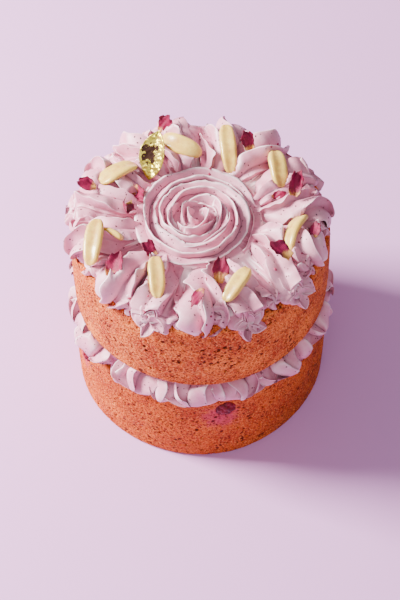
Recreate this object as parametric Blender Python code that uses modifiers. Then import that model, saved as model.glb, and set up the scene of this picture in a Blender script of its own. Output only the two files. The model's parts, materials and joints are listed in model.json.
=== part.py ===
"""A two-layer naked cake with piped cream, lychee strips, dried rose petals and a gold leaf.

The cake stands on the ground plane with its axis on +Z. Its front, where the raspberry shows, faces -Y.
Lengths are in metres, angles in degrees unless a name says otherwise.
"""

import math
import random

import bmesh
import bpy
from mathutils import Matrix, Vector
from mathutils.bvhtree import BVHTree

MM = 0.001

# Sponges
CAKE_RADIUS = 75 * MM
LOWER_HEIGHT = 60 * MM
FILLING_HEIGHT = 16 * MM
UPPER_HEIGHT = 54 * MM
SPONGE_BULGE = 0.7 * MM
SPONGE_WOBBLE = 0.5 * MM
FOOT_ROUND = 1.6 * MM
CRUST_ROUND = 3.2 * MM
SPONGE_STEPS = 44

# Clearance left between solids that touch
GAP = 0.3 * MM

# Points of a swept curve this close are one
WELD = 0.001 * MM

# Edges sharper than this are shaded as creases
CREASE_ANGLE = 35

# Piping nozzle: a star with sharp arms
NOZZLE_ARMS = 6
NOZZLE_DEPTH = 0.54

# Bed of cream under the piping
BED_RADIUS = 70.5 * MM
BED_HEIGHT = 5.6 * MM
CORE_RADIUS = 36 * MM
CORE_HEIGHT = 8.5 * MM

# Rosette in the middle of the top
ROSETTE_X = -2 * MM
ROSETTE_Y = -3 * MM
ROSETTE_ARMS = 7
ROSETTE_DEPTH = 0.6
ROSETTE_TURNS = 2.35
ROSETTE_INNER = 11 * MM
ROSETTE_PITCH = 9.4 * MM
ROSETTE_START_ANGLE = 86
ROSETTE_STEPS_PER_TURN = 14
ROSETTE_BEAD_INNER = 7.4 * MM
ROSETTE_BEAD_OUTER = 9.4 * MM
ROSETTE_CENTRE_RISE = 10.5 * MM
ROSETTE_EDGE_RISE = 6.5 * MM
ROSETTE_SWAY = 14
BUD_ARMS = 5
BUD_HEIGHT = 20.5 * MM
BUD_RADIUS = 12.5 * MM
BUD_TWIST = 80

# Levels of the rosette's middle: share of its height, share of its radius
BUD_LEVELS = ((0.0, 1.0), (0.35, 1.0), (0.62, 0.9), (0.84, 0.7), (1.0, 0.42))

# Shells of the border, piped from the rim inwards
SHELLS = 15
SHELL_START_ANGLE = -90
SHELL_RADIUS = 14.8 * MM
SHELL_MIDDLE = 59.0 * MM
SHELL_HOOK = 9 * MM

# Stations of a border shell from its outer end inwards: reach past its middle, height (mm), share of its radius
SHELL_ROUTE = (
    (14.4, -4.4, 0.28),
    (12.2, -0.6, 0.72),
    (7.0, 4.0, 1.0),
    (-1.0, 6.0, 1.0),
    (-9.0, 6.2, 0.88),
    (-17.0, 5.4, 0.72),
    (-24.0, 4.4, 0.46),
)

# Shells of the filling, of which only the outer ends leave the sponges
FILLING_SHELLS = 15
FILLING_START_ANGLE = -94
FILLING_DISC_RADIUS = 71 * MM
FILLING_SHELL_RADIUS = 10.8 * MM
FILLING_SHELL_WIDTH = 1.55
FILLING_SHELL_MIDDLE = 68.5 * MM

# Stations of a filling shell outwards: reach past its middle (mm), share of its droop, share of its radius
FILLING_ROUTE = (
    (-7.0, 0.0, 0.85),
    (0.0, 0.2, 1.0),
    (5.0, 1.0, 0.96),
    (8.4, 2.2, 0.70),
    (10.2, 3.0, 0.24),
)

# Raspberries baked into the lower sponge
DRUPELET_DEPTH = 0.09
BERRY_SEGMENTS = 14
BERRY_RINGS = 9

# Lychee strips: sides of the section, and stations along the half length with the section's size there
LYCHEE_SIDES = 8
LYCHEE_STATIONS = ((-1.0, 0.36), (-0.93, 0.66), (-0.6, 0.94), (0.0, 1.0), (0.6, 0.92), (0.93, 0.62), (1.0, 0.32))

# Gold foil leaf, pointed at both ends and cupped about its length
FOIL_LENGTH = 30 * MM
FOIL_WIDTH = 18 * MM
FOIL_THICKNESS = 1.2 * MM
FOIL_CUP_RADIUS = 14 * MM
FOIL_ACROSS = 4
FOIL_ALONG = 8

# Dried rose petals
PETAL_THICKNESS = 0.6 * MM
PETAL_GAP = 0.55 * MM
PETAL_ACROSS = 3
PETAL_ALONG = 4

LOWER_TOP = LOWER_HEIGHT
UPPER_BOTTOM = LOWER_HEIGHT + FILLING_HEIGHT
UPPER_TOP = UPPER_BOTTOM + UPPER_HEIGHT

# Lychee strips: place of the middle (mm), direction of the length, tilt of the length, roll, length, width,
# thickness (mm), bend of the whole strip, height above the cream (mm)
LYCHEES = {
    "lychee_left": (-60.5, -25.0, -98, -12, 10, 30, 10.5, 6.5, 28, 1.6),
    "lychee_left_inner": (-49.6, -17.0, 150, 0, 60, 15, 7.5, 5.0, 60, 0.6),
    "lychee_back_left": (-48.0, 28.5, 30, 4, -20, 25, 13.0, 6.0, 50, 2.4),
    "lychee_back": (-12.0, 50.0, -30, 4, 20, 29, 11.0, 6.0, 70, 3.2),
    "lychee_back_right": (16.5, 46.0, -84, -14, 0, 33, 9.5, 6.0, 36, 2.4),
    "lychee_right_back": (45.5, 31.0, -82, -10, -15, 25, 10.5, 6.5, 30, 2.4),
    "lychee_right": (53.0, -14.0, -112, 0, 40, 30, 9.5, 5.5, 75, 2.2),
    "lychee_front": (-24.5, -47.5, -87, -10, 0, 27, 9.5, 6.5, 24, 1.8),
    "lychee_front_right": (20.5, -53.5, -124, -10, 10, 25, 9.5, 6.5, 26, 1.8),
}

# Dried petals: place of the base (mm), direction of the length, tilt of the length, roll, length, width (mm),
# cup (mm), seed, height above the cream (mm)
PETALS = {
    "petal_back_top": (-23.0, 63.5, 40, 58, 25, 12.0, 9.0, 2.0, 1, -0.5),
    "petal_left": (-60.0, 16.5, 172, 22, 10, 11.5, 11.0, 2.0, 2, -0.2),
    "petal_by_leaf": (-37.0, 18.5, -70, 30, 50, 13.0, 9.0, 3.2, 3, -0.4),
    "petal_left_inner": (-43.0, 6.0, -80, 25, -40, 13.0, 8.5, 3.2, 4, -0.4),
    "petal_left_front": (-50.5, -45.0, 62, 34, -12, 15.5, 11.0, 2.6, 5, -0.4),
    "petal_front_left": (-26.5, -30.0, 128, 34, 10, 10.5, 8.5, 2.2, 6, -0.4),
    "petal_front": (10.5, -48.5, 76, 48, 15, 15.0, 9.5, 2.8, 7, -0.4),
    "petal_fringe": (1.5, -59.5, -118, -8, 20, 12.5, 7.5, 2.2, 8, 0.2),
    "petal_back_right": (29.5, 44.0, 118, 55, -20, 12.5, 8.0, 2.4, 9, -0.4),
    "petal_right_small": (41.5, 12.5, 10, 15, 20, 9.5, 7.5, 2.0, 10, -0.3),
    "petal_right_back": (53.5, 7.0, 72, 44, 15, 15.0, 8.5, 2.6, 11, -0.4),
    "petal_right": (51.0, -35.5, 150, 32, 10, 14.0, 11.0, 2.6, 12, -0.2),
    "petal_right_outer": (65.0, -17.5, 78, 30, -10, 9.5, 7.0, 2.0, 13, -0.2),
}

# Raspberries: direction from the axis, distance of the centre from the axis (mm), height of the centre (mm),
# radius (mm), drupelet phase
RASPBERRIES = {
    "raspberry_front": (-78.5, 69.3, 49.2, 8.6, 0.4),
    "raspberry_left": (-155.0, 71.0, 44.0, 6.2, 1.7),
}

# Gold leaf: place of the middle (mm), height over the upper sponge (mm), heading of its face, lean, swing
FOIL_PLACE = (-27.0, 35.5, 20.8, -128, 38, -12)

# Colours: red, green, blue, roughness, metallic
SPONGE_FINISH = (0.60, 0.26, 0.12, 0.85, 0.0)
CREAM_FINISH = (0.72, 0.50, 0.56, 0.45, 0.0)
LYCHEE_FINISH = (0.84, 0.70, 0.45, 0.30, 0.0)
PETAL_FINISH = (0.45, 0.04, 0.14, 0.60, 0.0)
RASPBERRY_FINISH = (0.22, 0.01, 0.03, 0.35, 0.0)
GOLD_FINISH = (0.80, 0.62, 0.15, 0.30, 1.0)


def clear_scene():
    for obj in list(bpy.data.objects):
        bpy.data.objects.remove(obj, do_unlink=True)


def make_collection(name, shown):
    made = bpy.data.collections.new(name)
    made.hide_render = not shown
    bpy.context.scene.collection.children.link(made)
    return made


def make_material(name, finish):
    material = bpy.data.materials.new(name)
    material.use_nodes = True
    shader = material.node_tree.nodes["Principled BSDF"]
    shader.inputs["Base Color"].default_value = (*finish[:3], 1)
    shader.inputs["Roughness"].default_value = finish[3]
    shader.inputs["Metallic"].default_value = finish[4]
    return material


def add_object(name, data, collection, material=None):
    obj = bpy.data.objects.new(name, data)
    collection.objects.link(obj)
    if material:
        data.materials.clear()
        data.materials.append(material)
    return obj


def evaluated_mesh(obj):
    """The object's mesh with its modifiers applied, in world space, with a curve's caps welded on."""
    bpy.context.view_layer.update()
    graph = bpy.context.evaluated_depsgraph_get()
    mesh = bpy.data.meshes.new_from_object(obj.evaluated_get(graph))
    mesh.transform(obj.matrix_world)
    if obj.type == "CURVE":
        work = bmesh.new()
        work.from_mesh(mesh)
        bmesh.ops.remove_doubles(work, verts=work.verts, dist=WELD)
        bmesh.ops.recalc_face_normals(work, faces=work.faces)
        work.to_mesh(mesh)
        work.free()
    mesh.shade_smooth()
    mesh.set_sharp_from_angle(angle=math.radians(CREASE_ANGLE))
    return mesh


def baked(obj, collection, material=None):
    """Replaces the object by a plain mesh object of the same name."""
    name = obj.name
    mesh = evaluated_mesh(obj)
    old = obj.data
    bpy.data.objects.remove(obj)
    if isinstance(old, bpy.types.Curve):
        bpy.data.curves.remove(old)
    return add_object(name, mesh, collection, material)


def polar(radius, degrees, height):
    angle = math.radians(degrees)
    return Vector((radius * math.cos(angle), radius * math.sin(angle), height))


def sponge_wobble(angle):
    """How far the sponge's side stands out of a true circle in a direction."""
    return SPONGE_WOBBLE * (math.sin(3 * angle + 0.6) + 0.6 * math.sin(5 * angle + 2.1))


def sponge(name, bottom, top, crust, collection, material=None, grow=0.0):
    """A turned sponge with a slightly barrelled side; grow makes the clearance cutter of the same sponge."""
    radius = CAKE_RADIUS + grow
    low = bottom - grow
    high = top + grow
    middle = (low + high) / 2
    profile = [
        (0, high),
        (radius - crust, high),
        (radius - 0.3 * crust, high - 0.3 * crust),
        (radius, high - crust),
        (radius + SPONGE_BULGE, middle),
        (radius, low + FOOT_ROUND),
        (radius - FOOT_ROUND, low),
        (0, low),
    ]
    mesh = bpy.data.meshes.new(name)
    edges = [(i, i + 1) for i in range(len(profile) - 1)]
    mesh.from_pydata([(r, 0, z) for r, z in profile], edges, [])
    obj = add_object(name, mesh, collection)
    screw = obj.modifiers.new("turn", "SCREW")
    screw.steps = screw.render_steps = SPONGE_STEPS
    screw.use_merge_vertices = True
    screw.merge_threshold = 0.01 * MM
    obj = baked(obj, collection, material)
    for vertex in obj.data.vertices:
        reach = math.hypot(vertex.co.x, vertex.co.y)
        if reach > radius / 2:
            scale = 1 + sponge_wobble(math.atan2(vertex.co.y, vertex.co.x)) / reach
            vertex.co.x *= scale
            vertex.co.y *= scale
    return obj


def star_profile(arms, depth, phase=0, width=1.0):
    """A closed star outline of outer radius one, widened sideways, used as a nozzle."""
    curve = bpy.data.curves.new("nozzle", "CURVE")
    curve.dimensions = "2D"
    spline = curve.splines.new("POLY")
    spline.points.add(2 * arms - 1)
    for i in range(2 * arms):
        reach = 1.0 if i % 2 == 0 else depth
        angle = math.pi * i / arms + math.radians(phase)
        spline.points[i].co = (width * reach * math.cos(angle), reach * math.sin(angle), 0, 1)
    spline.use_cyclic_u = True
    return curve


def oval_profile(width, thickness, sides):
    """A closed oval outline, flatter below, used as the section of a fruit strip."""
    curve = bpy.data.curves.new("section", "CURVE")
    curve.dimensions = "2D"
    spline = curve.splines.new("POLY")
    spline.points.add(sides - 1)
    for i in range(sides):
        angle = 2 * math.pi * (i + 0.5) / sides
        x = width / 2 * math.cos(angle)
        y = thickness * (0.58 if math.sin(angle) > 0 else 0.42) * math.sin(angle)
        spline.points[i].co = (x, y, 0, 1)
    spline.use_cyclic_u = True
    return curve


def swept(name, points, radii, tilts, profile, collection, level=False):
    """A profile carried along a path, with its size and turn given at each point, as a closed mesh.

    A level sweep keeps the profile's width horizontal.
    """
    section = add_object("section_guide", profile, collection)
    curve = bpy.data.curves.new(name, "CURVE")
    curve.dimensions = "3D"
    curve.twist_mode = "Z_UP" if level else "MINIMUM"
    curve.bevel_mode = "OBJECT"
    curve.bevel_object = section
    curve.use_fill_caps = True
    spline = curve.splines.new("POLY")
    spline.points.add(len(points) - 1)
    for point, place, radius, tilt in zip(spline.points, points, radii, tilts):
        point.co = (*place, 1)
        point.radius = radius
        point.tilt = math.radians(tilt)
    made = baked(add_object(name, curve, collection), collection)
    bpy.data.objects.remove(section)
    return made


def smoothstep(value):
    clamped = max(0.0, min(1.0, value))
    return clamped * clamped * (3 - 2 * clamped)


def rosette_path():
    """Points, bead radii and tilts along the spiral of the rosette."""
    steps = round(ROSETTE_TURNS * ROSETTE_STEPS_PER_TURN)
    centre = Vector((ROSETTE_X, ROSETTE_Y, UPPER_TOP))
    points, radii, tilts = [], [], []
    for i in range(steps + 1):
        share = i / steps
        turn = ROSETTE_TURNS * share
        reach = ROSETTE_INNER + ROSETTE_PITCH * turn
        rise = ROSETTE_CENTRE_RISE + (ROSETTE_EDGE_RISE - ROSETTE_CENTRE_RISE) * share
        bead = ROSETTE_BEAD_INNER + (ROSETTE_BEAD_OUTER - ROSETTE_BEAD_INNER) * share
        opening = 0.75 + 0.25 * smoothstep(3 * turn)
        closing = 0.3 + 0.7 * smoothstep(2.5 * (ROSETTE_TURNS - turn))
        points.append(centre + polar(reach, ROSETTE_START_ANGLE - 360 * turn, rise))
        radii.append(bead * opening * closing)
        tilts.append(ROSETTE_SWAY * math.sin(4.3 * turn))
    return points, radii, tilts


def bud_path():
    """The upright twist of cream in the middle of the rosette."""
    base = Vector((ROSETTE_X, ROSETTE_Y, UPPER_TOP + GAP))
    points = [base + Vector((0, 0, BUD_HEIGHT * level)) for level, _ in BUD_LEVELS]
    radii = [BUD_RADIUS * size for _, size in BUD_LEVELS]
    return points, radii, [BUD_TWIST * level for level, _ in BUD_LEVELS]


def local_to_world(angle, outward, sideways, height):
    """A point given by its reach from the axis and its sideways step, in the direction of angle."""
    turn = math.radians(angle)
    out = Vector((math.cos(turn), math.sin(turn), 0))
    side = Vector((-math.sin(turn), math.cos(turn), 0))
    return outward * out + sideways * side + Vector((0, 0, height))


def shell_path(angle, base, rng):
    """One shell of the border: a blunt fluted end over the rim that narrows to a tail inwards."""
    size = SHELL_RADIUS * rng.uniform(0.92, 1.08)
    middle = SHELL_MIDDLE + rng.uniform(-1.2, 1.0) * MM
    lift = rng.uniform(-0.8, 0.8) * MM
    hook = rng.uniform(-1, 1) * SHELL_HOOK
    twist = rng.uniform(20, 60) * rng.choice((-1, 1))
    start = rng.uniform(0, 360 / NOZZLE_ARMS)
    last = len(SHELL_ROUTE) - 1
    points, radii, tilts = [], [], []
    for i, (out, up, share) in enumerate(SHELL_ROUTE):
        side = hook * (i / last) ** 2
        points.append(local_to_world(angle, middle + out * MM, side, base + up * MM + lift))
        radii.append(size * share)
        tilts.append(start + twist * i / last)
    return points, radii, tilts


def filling_path(angle, base, rng):
    """One shell of the filling, drooping where it leaves the sponges."""
    size = FILLING_SHELL_RADIUS * rng.uniform(0.92, 1.06)
    middle = FILLING_SHELL_MIDDLE + rng.uniform(-1.0, 0.8) * MM
    droop = rng.uniform(0.8, 2.6) * MM
    slide = rng.uniform(-2.5, 2.5) * MM
    height = base + FILLING_HEIGHT / 2
    points, radii = [], []
    for out, down, share in FILLING_ROUTE:
        points.append(local_to_world(angle, middle + out * MM, slide, height - droop * down))
        radii.append(size * share)
    return points, radii, [0] * len(points)


def fused(name, pieces, collection, material):
    """Joins the collection's pieces to the first one with a single Boolean union."""
    first = pieces.objects[0]
    pieces.objects.unlink(first)
    collection.objects.link(first)
    first.name = name
    union = first.modifiers.new("fuse", "BOOLEAN")
    union.operation = "UNION"
    union.operand_type = "COLLECTION"
    union.collection = pieces
    union.solver = "MANIFOLD"
    made = baked(first, collection, material)
    for obj in list(pieces.objects):
        bpy.data.objects.remove(obj)
    bpy.data.collections.remove(pieces)
    return made


def carved(obj, cutters, collection, material):
    """Cuts the collection's solids out of the object and keeps its largest body."""
    cut = obj.modifiers.new("carve", "BOOLEAN")
    cut.operation = "DIFFERENCE"
    cut.operand_type = "COLLECTION"
    cut.collection = cutters
    cut.solver = "MANIFOLD"
    made = baked(obj, collection, material)
    keep_largest_body(made.data)
    return made


def keep_largest_body(mesh):
    """Deletes every loose scrap but the body with the largest volume."""
    work = bmesh.new()
    work.from_mesh(mesh)
    unseen = set(work.faces)
    bodies = []
    while unseen:
        reached = [unseen.pop()]
        for face in reached:
            for edge in face.edges:
                for other in edge.link_faces:
                    if other in unseen:
                        unseen.discard(other)
                        reached.append(other)
        bodies.append(reached)
    bodies.sort(key=body_volume)
    for scrap in bodies[:-1]:
        bmesh.ops.delete(work, geom=scrap, context="FACES")
    work.to_mesh(mesh)
    work.free()


def body_volume(faces):
    """Volume enclosed by faces, by summing the tetrahedra to the origin."""
    total = 0.0
    for face in faces:
        corners = [loop.vert.co for loop in face.loops]
        for second, third in zip(corners[1:], corners[2:]):
            total += corners[0].dot(second.cross(third)) / 6
    return total


def cylinder(name, radius, bottom, height, sides, collection):
    mesh = bpy.data.meshes.new(name)
    work = bmesh.new()
    bmesh.ops.create_cone(work, cap_ends=True, segments=sides, radius1=radius, radius2=radius, depth=height)
    work.to_mesh(mesh)
    work.free()
    return placed(add_object(name, mesh, collection), Matrix.Translation((0, 0, bottom + height / 2)))


def make_top_cream(collection, material):
    """Bed, rosette and border of the top, as one solid."""
    pieces = make_collection("cream_pieces", True)
    cylinder("bed", BED_RADIUS, UPPER_TOP + GAP, BED_HEIGHT, SPONGE_STEPS, pieces)
    cylinder("core", CORE_RADIUS, UPPER_TOP + 2 * GAP, CORE_HEIGHT, SPONGE_STEPS, pieces)
    swept("rosette", *rosette_path(), star_profile(ROSETTE_ARMS, ROSETTE_DEPTH), pieces)
    swept("bud", *bud_path(), star_profile(BUD_ARMS, NOZZLE_DEPTH), pieces)
    rng = random.Random(17)
    for i in range(SHELLS):
        angle = SHELL_START_ANGLE + 360 * i / SHELLS + rng.uniform(-2.5, 2.5)
        path = shell_path(angle, UPPER_TOP, rng)
        swept(f"shell_{i}", *path, star_profile(NOZZLE_ARMS, NOZZLE_DEPTH), pieces)
    return fused("top_cream", pieces, collection, material)


def make_filling(collection, material):
    """The disc of cream between the sponges with its ring of shells, as one solid."""
    pieces = make_collection("filling_pieces", True)
    height = FILLING_HEIGHT - 2 * GAP
    cylinder("disc", FILLING_DISC_RADIUS, LOWER_TOP + GAP, height, SPONGE_STEPS, pieces)
    rng = random.Random(5)
    for i in range(FILLING_SHELLS):
        angle = FILLING_START_ANGLE + 360 * i / FILLING_SHELLS + rng.uniform(-2.5, 2.5)
        path = filling_path(angle, LOWER_TOP, rng)
        phase = rng.uniform(0, 360 / NOZZLE_ARMS)
        nozzle = star_profile(NOZZLE_ARMS, NOZZLE_DEPTH, phase, FILLING_SHELL_WIDTH)
        swept(f"filling_shell_{i}", *path, nozzle, pieces, level=True)
    return fused("cream_filling", pieces, collection, material)


def placed(obj, matrix):
    obj.matrix_world = matrix
    return obj


def pose(place, heading, tilt, roll):
    """Length along +Y turned to a heading in plan, then tilted up, with a roll about the length."""
    turn = Matrix.Rotation(math.radians(heading - 90), 4, "Z")
    lift = Matrix.Rotation(math.radians(tilt), 4, "X")
    spin = Matrix.Rotation(math.radians(roll), 4, "Y")
    return Matrix.Translation(place) @ turn @ lift @ spin


def lychee_strip(name, spec, matrix, collection, material=None, grow=0.0):
    """A curved strip of lychee flesh, thick in the middle, with rounded ends."""
    length, width, thickness, bend = spec
    profile = oval_profile(width * MM + 2 * grow, thickness * MM + 2 * grow, LYCHEE_SIDES)
    half_bend = math.radians(bend) / 2
    arc_radius = length * MM / (2 * half_bend)
    stretch = 1 + grow / (length * MM / 2)
    points = []
    for station, _ in LYCHEE_STATIONS:
        angle = station * half_bend * stretch
        drop = arc_radius * (math.cos(angle) - 1)
        points.append(Vector((0, arc_radius * math.sin(angle), drop)))
    sizes = [size for _, size in LYCHEE_STATIONS]
    strip = swept(name, points, sizes, [0] * len(points), profile, collection)
    if material:
        strip.data.materials.append(material)
    return placed(strip, matrix)


def petal_point(across, along, length, width, cup, seed):
    """A point of a petal's sheet: across runs from -1 to 1, along from 0 at the base to 1 at the tip."""
    outline = 0.24 + 0.76 * math.sin(math.pi * min(1.0, 0.08 + 0.72 * along)) ** 0.8
    outline *= 1 + 0.10 * math.sin(7 * along + 2.3 * seed)
    x = across * outline * width / 2
    notch = 0.07 * math.sin(5 * across + 1.7 * seed) * along * along
    y = length * (along * (1 - 0.14 * across * across * along) + notch)
    fold = cup * (0.55 * across * across + 0.25 * math.sin(3.1 * across + seed))
    curl = 0.5 * cup * along * along * math.cos(1.3 * seed)
    ruffle = 0.16 * cup * math.sin(6 * along + 3 * across + 1.1 * seed)
    return Vector((x, y, fold + curl + ruffle))


def petal(name, spec, matrix, collection, material=None, grow=0.0):
    """A thin wavy dried petal; its open sheet gets its thickness from Solidify."""
    length, width, cup, seed = spec
    work = bmesh.new()
    bmesh.ops.create_grid(work, x_segments=PETAL_ACROSS, y_segments=PETAL_ALONG, size=1)
    reach = 1 + 2 * grow / (width * MM)
    for vertex in work.verts:
        across = vertex.co.x * reach
        along = 0.5 + vertex.co.y * (0.5 + grow / (length * MM))
        vertex.co = petal_point(across, along, length * MM, width * MM, cup * MM, seed)
    bmesh.ops.triangulate(work, faces=work.faces)
    mesh = bpy.data.meshes.new(name)
    work.to_mesh(mesh)
    work.free()
    obj = add_object(name, mesh, collection)
    solid = obj.modifiers.new("thickness", "SOLIDIFY")
    solid.thickness = PETAL_THICKNESS + 2 * grow
    solid.offset = 0
    return placed(baked(obj, collection, material), matrix)


def raspberry(name, spec, collection, material=None, grow=0.0):
    """A raspberry as a ball whose surface rises into drupelets."""
    angle, reach, height, radius, phase = spec
    work = bmesh.new()
    bmesh.ops.create_uvsphere(work, u_segments=BERRY_SEGMENTS, v_segments=BERRY_RINGS, radius=1)
    bmesh.ops.triangulate(work, faces=work.faces, quad_method="FIXED")
    for vertex in work.verts:
        turn = math.atan2(vertex.co.y, vertex.co.x)
        rise = math.asin(max(-1.0, min(1.0, vertex.co.z)))
        bump = DRUPELET_DEPTH * math.sin(7 * turn + phase) * math.sin(6 * rise + phase) * math.cos(rise)
        vertex.co *= radius * MM * (1 + bump) + grow
    mesh = bpy.data.meshes.new(name)
    work.to_mesh(mesh)
    work.free()
    obj = add_object(name, mesh, collection, material)
    return placed(obj, Matrix.Translation(polar(reach * MM, angle, height * MM)))


def gold_leaf(name, collection, material=None, grow=0.0):
    """A cupped leaf of foil standing on its tip; its open sheet gets its thickness from Solidify."""
    x, y, height, heading, lean, swing = FOIL_PLACE
    work = bmesh.new()
    bmesh.ops.create_grid(work, x_segments=FOIL_ACROSS, y_segments=FOIL_ALONG, size=1)
    for vertex in work.verts:
        across, along = vertex.co.x, vertex.co.y
        half_width = (FOIL_WIDTH / 2 + grow) * (0.04 + 0.96 * (1 - along * along))
        turn = across * half_width / FOIL_CUP_RADIUS
        vertex.co = (
            FOIL_CUP_RADIUS * math.sin(turn),
            (FOIL_LENGTH / 2 + grow) * along,
            FOIL_CUP_RADIUS * (1 - math.cos(turn)),
        )
    bmesh.ops.triangulate(work, faces=work.faces)
    mesh = bpy.data.meshes.new(name)
    work.to_mesh(mesh)
    work.free()
    obj = add_object(name, mesh, collection)
    solid = obj.modifiers.new("thickness", "SOLIDIFY")
    solid.thickness = FOIL_THICKNESS + 2 * grow
    solid.offset = 0
    obj = baked(obj, collection, material)
    upright = Matrix.Rotation(math.radians(90), 4, "X")
    turn = Matrix.Rotation(math.radians(heading + 90), 4, "Z")
    tip = Matrix.Rotation(math.radians(-lean), 4, "X")
    spin = Matrix.Rotation(math.radians(swing), 4, "Y")
    place = Matrix.Translation((x * MM, y * MM, UPPER_TOP + height * MM))
    return placed(obj, place @ turn @ tip @ spin @ upright)


def surface_height(tree, x, y):
    """Height of the cream under a point, from a ray cast straight down."""
    hit = tree.ray_cast(Vector((x, y, UPPER_TOP + 0.1)), Vector((0, 0, -1)))[0]
    return hit.z if hit else UPPER_TOP


def seat_height(tree, place, heading, half_length):
    """The mean height of the cream under the two ends and the middle of a topping."""
    step = polar(half_length, heading, 0)
    spots = [place - step, place, place + step]
    heights = [surface_height(tree, spot.x, spot.y) for spot in spots]
    return max(sum(heights) / len(heights), max(heights) - 4 * MM)


def add_toppings(cream, collection, cutters, materials):
    """Seats strips and petals on the cream, and adds a slightly larger cutter for each."""
    work = bmesh.new()
    work.from_mesh(cream.data)
    tree = BVHTree.FromBMesh(work)
    work.free()
    for name, (x, y, heading, tilt, roll, length, width, thickness, bend, lift) in LYCHEES.items():
        place = Vector((x * MM, y * MM, 0))
        height = seat_height(tree, place, heading, 0.36 * length * MM)
        place.z = height + lift * MM
        matrix = pose(place, heading, tilt, roll)
        spec = (length, width, thickness, bend)
        lychee_strip(name, spec, matrix, collection, materials["lychee"])
        lychee_strip(f"{name}_cutter", spec, matrix, cutters, grow=GAP)
    for name, (x, y, heading, tilt, roll, length, width, cup, seed, lift) in PETALS.items():
        place = Vector((x * MM, y * MM, 0))
        place.z = surface_height(tree, place.x, place.y) + lift * MM
        matrix = pose(place, heading, tilt, roll)
        spec = (length, width, cup, seed)
        petal(name, spec, matrix, collection, materials["petal"])
        petal(f"{name}_cutter", spec, matrix, cutters, grow=PETAL_GAP)


def make_cake():
    clear_scene()
    cake = make_collection("naked_cake", True)
    sponge_cutters = make_collection("sponge_cutters", False)
    topping_cutters = make_collection("topping_cutters", False)
    berry_cutters = make_collection("berry_cutters", False)
    materials = {
        "sponge": make_material("sponge", SPONGE_FINISH),
        "cream": make_material("cream", CREAM_FINISH),
        "lychee": make_material("lychee", LYCHEE_FINISH),
        "petal": make_material("petal", PETAL_FINISH),
        "raspberry": make_material("raspberry", RASPBERRY_FINISH),
        "gold": make_material("gold", GOLD_FINISH),
    }
    lower = sponge("sponge_lower", 0, LOWER_TOP, FOOT_ROUND, cake, materials["sponge"])
    sponge("sponge_upper", UPPER_BOTTOM, UPPER_TOP, CRUST_ROUND, cake, materials["sponge"])
    sponge("lower_cutter", 0, LOWER_TOP, FOOT_ROUND, sponge_cutters, grow=GAP)
    sponge("upper_cutter", UPPER_BOTTOM, UPPER_TOP, CRUST_ROUND, sponge_cutters, grow=GAP)
    for name, spec in RASPBERRIES.items():
        raspberry(name, spec, cake, materials["raspberry"])
        raspberry(f"{name}_cutter", spec, berry_cutters, grow=GAP)
    carved(lower, berry_cutters, cake, materials["sponge"])

    filling = make_filling(cake, materials["cream"])
    filling = carved(filling, sponge_cutters, cake, materials["cream"])
    carved(filling, berry_cutters, cake, materials["cream"])

    cream = make_top_cream(cake, materials["cream"])
    cream = carved(cream, sponge_cutters, cake, materials["cream"])
    add_toppings(cream, cake, topping_cutters, materials)
    gold_leaf("gold_leaf", cake, materials["gold"])
    gold_leaf("gold_leaf_cutter", topping_cutters, grow=GAP)
    carved(cream, topping_cutters, cake, materials["cream"])
    for cutters in (sponge_cutters, topping_cutters, berry_cutters):
        for obj in cutters.objects:
            obj.hide_render = True
            obj.display_type = "WIRE"


make_cake()
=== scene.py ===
"""The dressed naked cake: sponges with an open crumb, piped cream, fruit strips, dried petals, a foil leaf.

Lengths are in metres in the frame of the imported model: +Z is up and the front faces -Y. Angles are in
degrees where a name says so.
"""

import json
import logging
import math
import random
from dataclasses import dataclass
from enum import Enum, IntEnum
from typing import Any, Sequence

import bmesh
import bpy
from bpy.types import Material, Mesh, MeshVertex, Node, NodeSocket, NodeTree, Object
from mathutils import Matrix, Vector, noise
from mathutils.bvhtree import BVHTree

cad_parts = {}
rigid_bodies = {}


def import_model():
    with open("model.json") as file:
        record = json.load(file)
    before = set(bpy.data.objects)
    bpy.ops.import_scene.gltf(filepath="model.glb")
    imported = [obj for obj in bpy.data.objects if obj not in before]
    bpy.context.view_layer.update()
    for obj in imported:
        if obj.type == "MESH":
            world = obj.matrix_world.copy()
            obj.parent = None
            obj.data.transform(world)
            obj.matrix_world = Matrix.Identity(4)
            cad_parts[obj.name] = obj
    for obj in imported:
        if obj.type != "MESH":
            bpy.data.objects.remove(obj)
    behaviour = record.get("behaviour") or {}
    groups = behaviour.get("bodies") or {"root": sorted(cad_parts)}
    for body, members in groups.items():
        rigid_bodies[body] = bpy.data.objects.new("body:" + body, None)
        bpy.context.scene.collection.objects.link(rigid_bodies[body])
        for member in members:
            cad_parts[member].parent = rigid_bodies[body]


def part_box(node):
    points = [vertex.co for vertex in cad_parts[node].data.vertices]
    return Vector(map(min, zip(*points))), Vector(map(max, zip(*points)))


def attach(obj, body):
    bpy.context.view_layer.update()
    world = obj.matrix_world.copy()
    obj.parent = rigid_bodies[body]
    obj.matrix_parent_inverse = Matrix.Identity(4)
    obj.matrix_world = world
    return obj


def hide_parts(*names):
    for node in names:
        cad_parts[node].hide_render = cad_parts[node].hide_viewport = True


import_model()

MM = 0.001
LOG = logging.getLogger("naked_cake")

Colour = tuple[float, float, float]


class Seed(IntEnum):
    """Where each kind of random draw starts; a piece's number is added to most of them."""

    NOISE = 12
    BORDER = 17
    BORDER_LOOKS = 200
    BORDER_SWAY = 40
    TONGUE_SWAY = 240
    CURL = 640
    CURL_SWAY = 520
    FILLING = 5
    FILLING_LOOKS = 300
    FILLING_SWAY = 80
    FOLD_SWAY = 120
    HEART_PETAL = 60


# -------------------- node trees


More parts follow.
